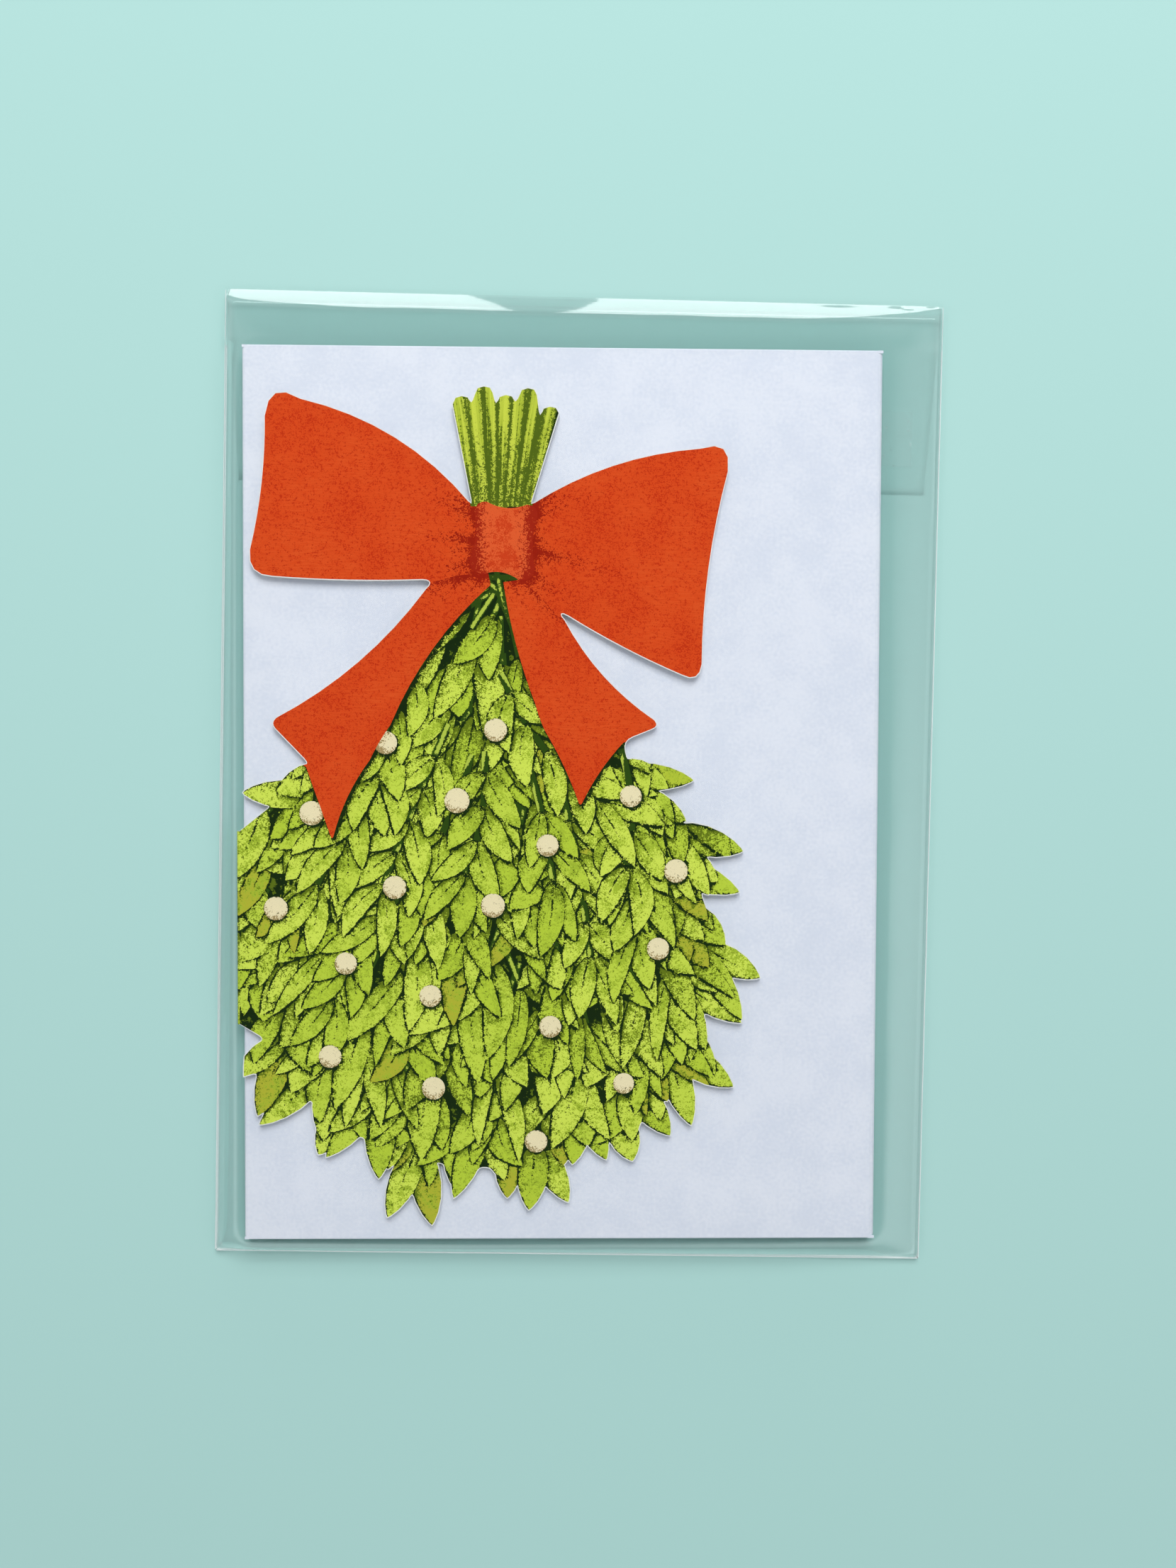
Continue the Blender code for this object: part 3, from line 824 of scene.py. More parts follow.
@dataclass(frozen=True)
class Motif:
    """One printed shape and the frame that its shading follows, in millimetres.

    Attributes:
        ink: its finish.
        outline: its closed anticlockwise outline.
        root: where along and across are zero.
        along: the unit direction of along.
        size: the lengths that count as 1 along and 1 across.
        halo: how far the shade that it casts on the shapes below reaches.
        tint: picks its colour, from 0 to 1.
        bend: how far its midrib arches to the side, in widths.
        depth: how dark it lies under others, from 0 to 1.
    """

    ink: Ink
    outline: list[Vector]
    root: Vector
    along: Vector
    size: tuple[float, float]
    halo: float = 0.0
    tint: float = 0.0
    bend: float = 0.0
    depth: float = 0.0

    def local(self, place: Vector) -> tuple[float, float]:
        """How far along and across the motif a place lies."""
        reach = place - self.root
        return reach.dot(self.along) / self.size[0], reach.dot(side_of(self.along)) / self.size[1]

    def caster(self) -> list[Vector]:
        """The outline that its shade reaches out from, a little down to the right of its own."""
        spots = self.outline[::2] if len(self.outline) > 12 else self.outline
        return [spot + SHADE_FALLS * self.halo for spot in spots]

    def cast(self, place: Vector, caster: Sequence[Vector]) -> float:
        """How dark its shade is at a place, from 0 to 1, given its caster outline."""
        if inside(place, caster):
            return 1.0
        nearest = self.halo
        for start, end in zip(caster, [*caster[1:], caster[0]]):
            run, reach = end - start, place - start
            share = min(max(reach.dot(run) / max(run.length_squared, 1e-12), 0.0), 1.0)
            nearest = min(nearest, (reach - run * share).length)
        return 1.0 - nearest / self.halo


@dataclass
class LeafyBunch:
    """The picture's hanging sprays: leaves, twigs and berries, in millimetres.

    The leaves at the card's edge repeat the rule that its die line is cut to.
    """

    die_line: Sequence[Vector]
    knot_under: Vector = field(default_factory=lambda: Vector((-9.5, 30.0)))
    edge: Sequence[tuple[float, float]] = (
        (10.0, 5.0), (16.4, -4.4), (20.8, -15.6), (21.2, -28.2), (16.6, -40.0), (5.6, -49.8),
        (-10.0, -54.0), (-26.0, -51.0), (-37.8, -43.0), (-43.6, -34.8),
    )
    shoulder: Sequence[tuple[float, float]] = ((-45.0, -6.5), (-41.0, -2.0), (-38.0, 3.0))
    fold_x: float = -46.9
    leaf_facets: int = 14
    leaf_length: float = 11.5
    leaf_width: float = 4.3
    leaf_root: float = 5.0
    leaf_halo: float = 0.62
    single_leaf: float = 0.8
    spray_spacing: float = 4.3
    tuft_length: float = 15.0
    tuft_reach: float = 2.8
    fork_angle: float = math.radians(16.0)
    droop: float = 2.2
    edge_seed: int = 4
    fill_seed: int = 11
    fill_reach: float = 88.5
    fill_end: float = -5.0
    fill_fan: float = 2.6
    fill_spacing: float = 5.3
    row_step: float = 4.0
    branch_count: int = 14
    branch_fan: float = 1.6
    branch_leaf: float = 0.86
    berry_radius: float = 1.7
    berry_spacing: float = 11.5
    berry_room: float = 3.8
    berry_facets: int = 18

    def leaf(self, root: Vector, along: Vector, length: float, width: float, tint: float,
             bend: float = 0.0, depth: float = 0.0) -> Motif:
        """One leaf, fullest a little short of its middle.

        Args:
            root: where its stalk would join.
            along: direction of its tip.
            length: from root to tip.
            width: across, at its broadest.
            tint: picks its colour, from 0 to 1.
            bend: how far its midrib arches to the side, in widths.
            depth: how dark it lies under others, from 0 to 1.

        Returns:
            The leaf's motif.
        """
        points = []
        for facet in range(self.leaf_facets):
            share = (1 - math.cos(2 * math.pi * facet / self.leaf_facets)) / 2
            side = 1 if facet < self.leaf_facets / 2 else -1
            root_part = (share / LEAF_FULLEST) ** LEAF_ROOT_TAPER
            half = root_part * ((1 - share) / (1 - LEAF_FULLEST)) ** LEAF_TIP_TAPER
            sideways = side * half / 2 + bend * 4 * share * (1 - share)
            points.append(root + along * length * share + side_of(along) * width * sideways)
        return Motif(Ink.LEAF, points, root, along, (length, width), self.leaf_halo, tint, bend, depth)

    def pair(self, root: Vector, along: Vector, spread: float, lengths: Callable[[], float],
             widths: tuple[float, float], tints: tuple[float, float, float], bends: tuple[float, float],
             chance: Random, depth: float) -> list[Motif]:
        """A forked pair of leaves.

        Args:
            root: where the two meet.
            along: the direction halfway between them.
            spread: how far each turns away from it.
            lengths: draws a leaf's length.
            widths: the range of their widths.
            tints: the colour that they start from, and the range added to it.
            bends: the range of how far their midribs arch outwards.
            chance: draws their sizes, colours and bends.
            depth: how dark they lie under others.

        Returns:
            The two leaves.
        """
        return [self.leaf(root, turned(along, spread * side), lengths(), chance.uniform(*widths),
                          tints[0] + chance.uniform(*tints[1:]), chance.uniform(*bends) * side, depth)
                for side in (1, -1)]

    def edge_leaves(self, path: Sequence[tuple[float, float]], chance: Random, looks: Random) -> list[Motif]:
        """The leaves along a stretch of the card's edge.

        Args:
            path: the bunch's edge under them.
            chance: draws their places, as the die line's rule does.
            looks: draws their colours.

        Returns:
            Forked pairs and single leaves in turn, gathered in tufts.
        """
        leaves = []
        edge = smooth_curve(path, 12)
        travelled, due, paired = 0.0, 1.0, False
        for here, there in zip(edge, edge[1:]):
            travelled += (there - here).length
            if travelled < due:
                continue
            due += self.spray_spacing * chance.uniform(0.85, 1.15)
            normal = -side_of((there - here).normalized())
            outward = ((there - self.knot_under).normalized() * self.droop + normal).normalized()
            reach = self.tuft_reach * math.cos(2 * math.pi * travelled / self.tuft_length)
            root = there + outward * (reach - self.leaf_root)
            for lean in ((self.fork_angle, -self.fork_angle) if paired else (0.0,)):
                along = turned(outward, lean * chance.uniform(0.75, 1.3) + chance.uniform(-0.1, 0.1))
                length = self.leaf_length * (1.0 if paired else self.single_leaf) * chance.uniform(0.82, 1.12)
                width = self.leaf_width * chance.uniform(0.9, 1.12)
                leaves.append(self.leaf(root, along, length, width, looks.random(),
                                        depth=looks.uniform(0.0, 0.5)))
            paired = not paired
        return leaves

    def twig(self, path: Sequence[Vector], width: float) -> Motif:
        """A thin twig along a path."""
        sides: list[list[Vector]] = [[], []]
        for index, spot in enumerate(path):
            run = path[min(index + 1, len(path) - 1)] - path[max(index - 1, 0)]
            across = side_of(run).normalized() * width / 2
            sides[0].append(spot + across)
            sides[1].append(spot - across)
        reach = path[-1] - path[0]
        outline = sides[0] + sides[1][::-1]
        return Motif(Ink.TWIG, outline, path[0], reach.normalized(), (reach.length, width), 0.5)

    def berry(self, centre: Vector, radius: float) -> Motif:
        """A round berry, shaded from the upper left."""
        angles = [2 * math.pi * facet / self.berry_facets for facet in range(self.berry_facets)]
        outline = [centre + from_angle(angle) * radius for angle in angles]
        return Motif(Ink.BERRY, outline, centre, Vector((0.5, -0.866)), (radius, radius), 0.9)

    def hang(self, place: Vector) -> Vector:
        """The direction that sprays hang in at a place."""
        return ((place - self.knot_under).normalized() * self.droop + Vector((0.0, -0.6))).normalized()

    def on_card(self, place: Vector) -> bool:
        """Whether a place is on the card's front, or would be if the front ran on past the fold."""
        return inside(Vector((max(place.x, self.fold_x + 0.4), place.y)), self.die_line)

    def fill(self, chance: Random) -> list[tuple[float, list[Motif]]]:
        """Rows of forked pairs all over the bunch, each with how far out it lies."""
        rows = []
        reach, shift = self.fill_reach, 0.0
        while reach > self.fill_end:
            shift = 0.5 - shift
            step = self.fill_spacing / max(reach, 6.0)
            count = int(self.fill_fan / step)
            for index in range(-count // 2, count // 2 + 1):
                angle = -math.pi / 2 + (index + shift + chance.uniform(-0.3, 0.3)) * step
                out = reach + chance.uniform(-1.7, 1.7)
                root = self.knot_under + from_angle(angle) * out
                along = turned(self.hang(root), chance.uniform(-0.45, 0.45))
                length = chance.uniform(7.5, 15.0)
                if not (self.on_card(root) and self.on_card(root + along * (length - 1.0))):
                    continue
                spread = chance.uniform(0.16, 0.56)
                tint, depth = chance.random(), chance.random() ** 2
                twig = self.twig([root - along * 7.0, root - along * 3.0, root + along * 1.2], 0.8)
                leaves = self.pair(root, along, spread, lambda: length * chance.uniform(0.78, 1.1),
                                   (2.5, 5.0), (tint, -0.2, 0.2), (-0.42, 0.3), chance, depth)
                rows.append((out, [twig, *leaves]))
            reach -= self.row_step
        return rows

    def branches(self, chance: Random) -> list[tuple[float, list[Motif]]]:
        """Long sprays that hang over the others, with pairs of leaves down a curved twig."""
        sprays = []
        for index in range(self.branch_count):
            fan = (index / (self.branch_count - 1) - 0.5) * self.branch_fan
            angle = -math.pi / 2 + fan + chance.uniform(-0.04, 0.04)
            start = self.knot_under + from_angle(angle) * chance.uniform(12.0, 48.0)
            heading = turned(self.hang(start), chance.uniform(-0.35, 0.35))
            curl = chance.uniform(-0.035, 0.035)
            path = [start]
            for _ in range(chance.randint(16, 28)):
                heading = turned(heading, curl)
                path.append(path[-1] + heading)
            while path and not self.on_card(path[-1] + heading * 9.0):
                path.pop()
            if len(path) < 10:
                continue
            motifs = [self.twig(path, 0.95)]
            tint = chance.uniform(0.0, 0.7)
            for joint in range(len(path) - 1, 2, -5):
                tip = joint == len(path) - 1
                along = (path[joint] - path[joint - 1]).normalized()
                spread = chance.uniform(0.24, 0.34) if tip else chance.uniform(0.42, 0.62)
                share = 1.0 if tip else self.branch_leaf
                motifs += self.pair(path[joint], along, spread, lambda: chance.uniform(8.5, 11.5) * share,
                                    (3.0, 4.1), (tint, -0.15, 0.2), (-0.42, 0.2), chance, 0.0)
            sprays.append(((path[-1] - self.knot_under).length, motifs))
        return sprays

    def berries(self, forks: Sequence[Vector], chance: Random) -> list[Motif]:
        """Single berries, well apart, that sit in some of the forks."""
        placed: list[Vector] = []
        for fork in chance.sample(list(forks), len(forks)):
            room = all(self.on_card(fork + from_angle(angle) * self.berry_room) for angle in range(7))
            if room and all((fork - other).length > self.berry_spacing for other in placed):
                placed.append(fork)
        return [self.berry(spot, self.berry_radius * chance.uniform(0.9, 1.08)) for spot in placed]

    def motifs(self) -> list[Motif]:
        """Everything in the bunch, from the bottom of the picture's layers to the top."""
        chance, looks = Random(self.edge_seed), Random(self.fill_seed)
        rim = self.edge_leaves(self.edge, chance, looks) + self.edge_leaves(self.shoulder, chance, looks)
        layers = [((leaf.root - self.knot_under).length, [leaf]) for leaf in rim] + self.fill(looks)
        layers.sort(key=lambda layer: -layer[0])
        layers += sorted(self.branches(looks), key=lambda layer: -layer[0])
        drawn = [motif for _, motifs in layers for motif in motifs]
        forks = [motif.root for motif in drawn if motif.ink is Ink.LEAF and self.fold_x + 4.0 < motif.root.x
                 and (motif.root - self.knot_under).length > 14.0]
        return drawn + self.berries(forks, looks)


@dataclass
class TiedBow:
    """The picture's bow and the bundle of stems above it, in millimetres.

    Outlines run past the die line, as a print does, so that the cut leaves no gap. They are
    given by their corners, as ribbon_shape takes them.
    """

    centre: Vector = field(default_factory=lambda: Vector((-8.6, 36.8)))
    left_tail: Sequence[Sequence[float]] = (
        (-11.0, 33.4), (-19.0, 33.6, 0.0, 1.2), (-47.0, 11.0), (-36.9, 4.3), (-33.2, -6.2, 0.5, 0.6),
        (-26.5, 8.0, 3.0, 1.4), (-10.4, 30.6),
    )
    right_tail: Sequence[Sequence[float]] = (
        (-8.6, 31.0, 0.0, -0.5), (-3.4, 11.5, 2.0, 0.3), (2.6, -1.2, 0.5, 0.4), (8.8, 8.0),
        (17.5, 11.0, 0.0, 1.0), (1.2, 27.5), (-2.0, 32.0),
    )
    left_loop: Sequence[Sequence[float]] = (
        (-11.5, 44.6), (-20.0, 52.0), (-42.0, 64.0), (-50.0, 62.0), (-50.0, 28.5), (-22.0, 28.5),
        (-18.5, 31.1, 0.8, 0.4), (-11.0, 32.0),
    )
    right_loop: Sequence[Sequence[float]] = (
        (-6.4, 31.4, 0.0, 0.3), (-1.2, 26.7, 0.6), (3.0, 23.9), (10.0, 18.6), (22.0, 10.0), (30.0, 14.0),
        (30.0, 57.0), (8.0, 53.0), (-6.0, 44.6),
    )
    knot: Sequence[Sequence[float]] = (
        (-12.6, 42.6, 1.6, 0.5), (-13.6, 32.4, 2.0, 0.7), (-4.2, 31.0, 2.2, 0.5), (-3.6, 42.0, 1.6, 0.7),
    )
    neck: tuple[float, float, float] = (-13.3, -4.5, 41.8)
    tops: tuple[float, float, float] = (-17.0, 0.4, 61.0)
    stem_shares: Sequence[float] = (0.0, 0.14, 0.3, 0.43, 0.56, 0.7, 0.84, 1.0)
    stem_tints: float = 0.37
    ribbon_halo: float = 1.1

    def ribbon(self, corners: Sequence[Sequence[float]], towards: tuple[float, float],
               size: tuple[float, float], tint: float) -> Motif:
        """A loop or a tail, shaded out from the knot.

        Args:
            corners: its outline.
            towards: a point that it runs towards.
            size: the lengths that count as 1 along and 1 across.
            tint: tells its pleats from the others'.

        Returns:
            The ribbon's motif.
        """
        along = (Vector(towards) - self.centre).normalized()
        return Motif(Ink.RIBBON, ribbon_shape(corners), self.centre, along, size, self.ribbon_halo, tint)

    def stems(self) -> list[Motif]:
        """The cut stems, from the left to the right, fanning out above the knot."""
        stems = []
        for index, shares in enumerate(zip(self.stem_shares, self.stem_shares[1:])):
            (low_left, low_right), (high_left, high_right) = (
                [Vector((left + (right - left) * share, height)) for share in shares]
                for left, right, height in (self.neck, self.tops))
            root, tip = (low_left + low_right) / 2, (high_right + high_left) / 2
            width = ((low_right.x - low_left.x) + (high_right.x - high_left.x)) / 2
            reach = tip - root
            outline = [low_left, low_right, high_right, high_left]
            stems.append(Motif(Ink.STEM, outline, root, reach.normalized(), (reach.length, width),
                               tint=(index * self.stem_tints) % 1.0))
        return stems

    def motifs(self) -> list[Motif]:
        """The stems and the bow, from the bottom of the picture's layers to the top."""
        knot = Motif(Ink.KNOT, ribbon_shape(self.knot), self.centre, Vector((1.0, 0.0)), (5.2, 6.0),
                     self.ribbon_halo)
        return [
            self.ribbon(self.left_tail, (-36.0, 3.0), (42.0, 16.0), 0.1),
            self.ribbon(self.right_tail, (8.0, 6.0), (34.0, 16.0), 0.35),
            self.ribbon(self.left_loop, (-44.0, 44.0), (37.0, 22.0), 0.6),
            self.ribbon(self.right_loop, (22.0, 34.0), (33.0, 22.0), 0.85),
            *self.stems(),
            knot,
        ]


DIE_LINE, BARE_LINE = 0, 1


@dataclass
class Overlay:
    """The card's outlines and the motifs' laid over one another, before they are cut into faces.

    Attributes:
        motifs: the picture, from the bottom of its layers to the top.
        shapes: outlines, the card's own two first, as DIE_LINE and BARE_LINE say.
        painted: the motif that each outline is of, by their numbers.
        shading: the motif whose shade each outline bounds, by their numbers.
        casters: the outlines that the motifs' shades reach out from.
        known: how dark the shades are, for each motif and spot reckoned so far.
    """

    motifs: list[Motif]
    shapes: list[Sequence[Vector]]
    painted: dict[int, int] = field(default_factory=dict)
    shading: dict[int, int] = field(default_factory=dict)
    casters: dict[int, list[Vector]] = field(default_factory=dict)
    known: dict[tuple[int, int], float] = field(default_factory=dict)

    def __post_init__(self) -> None:
        """Add every motif's outline, over that of its shade."""
        for index, motif in enumerate(self.motifs):
            if motif.halo:
                self.casters[index] = motif.caster()
                self.shading[len(self.shapes)] = index
                self.shapes.append(moved_in(self.casters[index], -motif.halo))
            self.painted[len(self.shapes)] = index
            self.shapes.append(motif.outline)

    def triangles(self) -> tuple[list[Vector], list[Sequence[int]], list[Sequence[int]]]:
        """The spots, the triangles between them, and the outlines that each triangle lies in."""
        points = [point for shape in self.shapes for point in shape]
        faces, start = [], 0
        for shape in self.shapes:
            faces.append(range(start, start + len(shape)))
            start += len(shape)
        spots, _, triangles, _, _, owners = delaunay_2d_cdt(points, [], faces, 0, 1e-5, True)
        return spots, triangles, owners

    def cast(self, index: int, number: int, spot: Vector) -> float:
        """How dark one motif's shade is at a spot, reckoned once for each."""
        if (index, number) not in self.known:
            self.known[index, number] = self.motifs[index].cast(spot, self.casters[index])
        return self.known[index, number]


@dataclass
class PrintedCard:
    """The folded, die-cut card with its printed front.

    Attributes:
        stock: the card's thickness, in metres.
        bare_edge: width of the unprinted rim, in millimetres.
        roll_steps: facets around the fold.
        fold_slack: how far from the fold a spot still counts as on it, in millimetres.
        fold_look: the place on a leaf whose look the fold's roll has.
    """

    layout: Layout
    stock: float = 0.30 * MM
    bare_edge: float = 0.13
    roll_steps: int = 10
    fold_slack: float = 0.02
    fold_look: tuple[float, float] = (0.6, 0.1)

    def die_line(self) -> list[Vector]:
        """Outline of the card's front, anticlockwise, in millimetres from the envelope's middle."""
        mesh = frame["nodes"]["card"].data
        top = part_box("card")[1].z
        to_print = Matrix.Scale(1 / MM, 4) @ self.layout.envelope_frame.inverted()
        sides: set[tuple] = set()
        for face in mesh.polygons:
            corners = [mesh.vertices[index].co for index in face.vertices]
            if face.normal.z > 0.5 and all(top - corner.z < 0.01 * MM for corner in corners):
                spots = [(round(corner.x, 7), round(corner.y, 7)) for corner in corners]
                sides |= set(zip(spots, spots[1:] + spots[:1]))
        following = {start: end for start, end in sides if (end, start) not in sides}
        loop = [min(following)]
        while following[loop[-1]] != loop[0]:
            loop.append(following[loop[-1]])
        return [(to_print @ Vector((x, y, 0.0))).to_2d() for x, y in loop]

    def build(self) -> None:
        """Print, cut and fold the card, and hand it over."""
        die_line = self.die_line()
        fold_x = min(spot.x for spot in die_line)
        bare_line = [Vector((fold_x, place.y)) if spot.x < fold_x + self.fold_slack else place
                     for spot, place in zip(die_line, moved_in(die_line, self.bare_edge))]
        picture = Overlay(LeafyBunch(die_line).motifs() + TiedBow().motifs(), [die_line, bare_line])
        bm = bmesh.new()
        motif_map = bm.loops.layers.uv.new(MOTIF_MAP)
        self.print_front(bm, picture, motif_map)
        self.fold(bm, fold_x, motif_map)
        self.finish(bm)

    def print_front(self, bm: bmesh.types.BMesh, picture: Overlay,
                    motif_map: bmesh.types.BMLayerItem) -> None:
        """Cut the front into faces along the motifs, and give each its ink and its shade.

        Args:
            bm: takes the front, at height zero, in millimetres.
            picture: the card's outlines and the picture's.
            motif_map: the print's UV layer.
        """
        numbers = [bm.faces.layers.float.new(name) for name in (TINT, BEND, DEPTH)]
        shade_layer = bm.loops.layers.float.new(CAST)
        spots, triangles, owners = picture.triangles()
        verts = [bm.verts.new((*spot, 0.0)) for spot in spots]
        for triangle, owner in zip(triangles, owners):
            if DIE_LINE not in owner:
                continue
            face = bm.faces.new([verts[index] for index in triangle])
            if BARE_LINE not in owner:
                face.material_index = Ink.BARE.value
                continue
            top = max((picture.painted[shape] for shape in owner if shape in picture.painted), default=-1)
            above = [picture.shading[shape] for shape in owner if picture.shading.get(shape, -1) > top]
            for loop, spot in zip(face.loops, triangle):
                shades = (picture.cast(index, spot, spots[spot]) for index in above)
                loop[shade_layer] = max(shades, default=0.0)
            face.material_index = Ink.GAP.value
            if top >= 0:
                motif = picture.motifs[top]
                face.material_index = motif.ink.value
                for layer, value in zip(numbers, (motif.tint, motif.bend, motif.depth)):
                    face[layer] = value
                for loop in face.loops:
                    loop[motif_map].uv = motif.local(loop.vert.co.to_2d())
        bmesh.ops.delete(bm, geom=[vert for vert in bm.verts if not vert.link_faces], context="VERTS")
        LOG.info("card_sheet: %d motifs, %d printed faces", len(picture.motifs), len(bm.faces))

    def fold(self, bm: bmesh.types.BMesh, fold_x: float, motif_map: bmesh.types.BMLayerItem) -> None:
        """Roll the sheet under at the fold and add the back leaf.

        Args:
            bm: the printed front.
            fold_x: where the fold's roll starts.
            motif_map: the print's UV layer.
        """
        low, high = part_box("card")
        depth = (high.z - low.z) / MM
        rim = [edge for edge in bm.edges if edge.is_boundary]
        following = {edge.link_loops[0].vert: edge.link_loops[0] for edge in rim}
        ordered = [rim[0].link_loops[0]]
        while following[ordered[-1].link_loop_next.vert] is not ordered[0]:
            ordered.append(following[ordered[-1].link_loop_next.vert])
        under = [bm.verts.new((loop.vert.co.x, loop.vert.co.y, -depth)) for loop in ordered]
        creases = [edge for edge in rim if all(vert.co.x < fold_x + self.fold_slack for vert in edge.verts)]
        printed = set(bm.faces)
        back = bm.faces.new(under[::-1])
        back.material_index = Ink.BOARD.value
        bmesh.ops.spin(bm, geom=creases, cent=(fold_x, 0.0, -depth / 2), axis=(0.0, -1.0, 0.0),
                       angle=math.pi, steps=self.roll_steps)
        for face in set(bm.faces) - printed - {back}:
            face.material_index = Ink.LEAF.value
            for loop in face.loops:
                loop[motif_map].uv = self.fold_look
        bmesh.ops.remove_doubles(bm, verts=bm.verts, dist=0.001)
        bmesh.ops.recalc_face_normals(bm, faces=bm.faces)
        bm.faces.ensure_lookup_table()
        if bm.faces[0].normal.z < 0.0:
            bmesh.ops.reverse_faces(bm, faces=bm.faces)

    def finish(self, bm: bmesh.types.BMesh) -> None:
        """Give the sheet its thickness, put it in its place and hand it over."""
        inks = {
            Ink.BARE: board("card_bare_edge"), Ink.GAP: GapInk("print_gaps"),
            Ink.LEAF: LeafInk("print_leaves"), Ink.TWIG: TwigInk("print_twigs"),
            Ink.BERRY: BerryInk("print_berries"), Ink.STEM: StemInk("print_stems"),
            Ink.RIBBON: RibbonInk("print_ribbon"), Ink.KNOT: KnotInk("print_knot"),
            Ink.BOARD: board("card_board"),
        }
        sheet = mesh_object("card_outside", bm, *(inks[ink].build() for ink in Ink))
        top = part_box("card")[1].z
        in_place = Matrix.Translation((0.0, 0.0, top)) @ self.layout.envelope_frame
        sheet.data.transform(in_place @ Matrix.Scale(MM, 4))
        solidify = thicken(sheet, self.stock, -1.0)
        solidify.material_offset = Ink.BOARD.value
        solidify.material_offset_rim = Ink.BOARD.value
        card = plain_mesh(sheet, "card_sheet")
        self.plain_inside(card.data, top - 0.5 * self.stock)
        hand_over(card, "pouch", "card", "card")

    def plain_inside(self, mesh: bpy.types.Mesh, below: float) -> None:
        """Make the front leaf's underside one face, as it carries no print.

        Args:
            mesh: the finished sheet.
            below: a height inside the front leaf.
        """
        bm = bmesh.new()
        bm.from_mesh(mesh)
        inside_faces = [face for face in bm.faces if face.normal.z < -0.9
                        and below - self.stock < face.calc_center_median().z < below]
        bmesh.ops.delete(bm, geom=inside_faces, context="FACES")
        rim = [edge for edge in bm.edges if edge.is_boundary]
        for face in bmesh.ops.edgeloop_fill(bm, edges=rim, mat_nr=Ink.BOARD.value)["faces"]:
            face.normal_update()
            if face.normal.z > 0.0:
                face.normal_flip()
        bm.to_mesh(mesh)
        bm.free()


# ------------------------------------------------------------------------ the sleeve


def socket_name(name: str) -> str:
    """The geometry input that a field of Drape sets."""
    return name.replace("_", " ").title()


@dataclass(frozen=True)
class Drape:
    """One film of the pouch: how it lies between its middle and its edges.

    Each field is an input of the drape's geometry nodes.

    Attributes:
        width: the film's width.
        length: its length.
        top: where its upper edge lies along the sleeve.
        columns: grid points across.
        rows: grid points along.
        plateau_x: the middle of its level part, across.
        plateau_y: the same, along.
        half_width: half of the level part's width.
        half_height: half of the level part's length.
        level: height of the level part.
        edge_level: height of the film's edges.
        open_end: beyond this Y the film has no edge to come down to.
        sag: exponent of its fall, 1 for a straight slope.
        crease_slope: how steeply it rises from the crease at the upper edge.
        turn: how far the level part is turned.
        crowding: exponent that draws the grid's rows towards the upper edge, 1 for even rows.
        step: extra height, reached over the stretch step_run beyond step_from along Y.
        step_from: where that step starts.
        step_run: how long it is.
        side_from: where along X the same step starts.
        lift: share of its height that it keeps up to the crease at the upper edge.
        ripple: height of the waves between the plateau and the edges.
        crumple: height of the small folds in the upper right corner.
    """

    width: float
    length: float
    top: float
    columns: int
    rows: int
    plateau_x: float
    plateau_y: float
    half_width: float
    half_height: float
    level: float
    edge_level: float
    open_end: float
    sag: float
    crease_slope: float
    turn: float = 0.0
    crowding: float = 1.0
    step: float = 0.0
    step_from: float = 0.0
    step_run: float = 1.0
    side_from: float = 1.0
    lift: float = 0.0
    ripple: float = 0.0
    crumple: float = 0.0


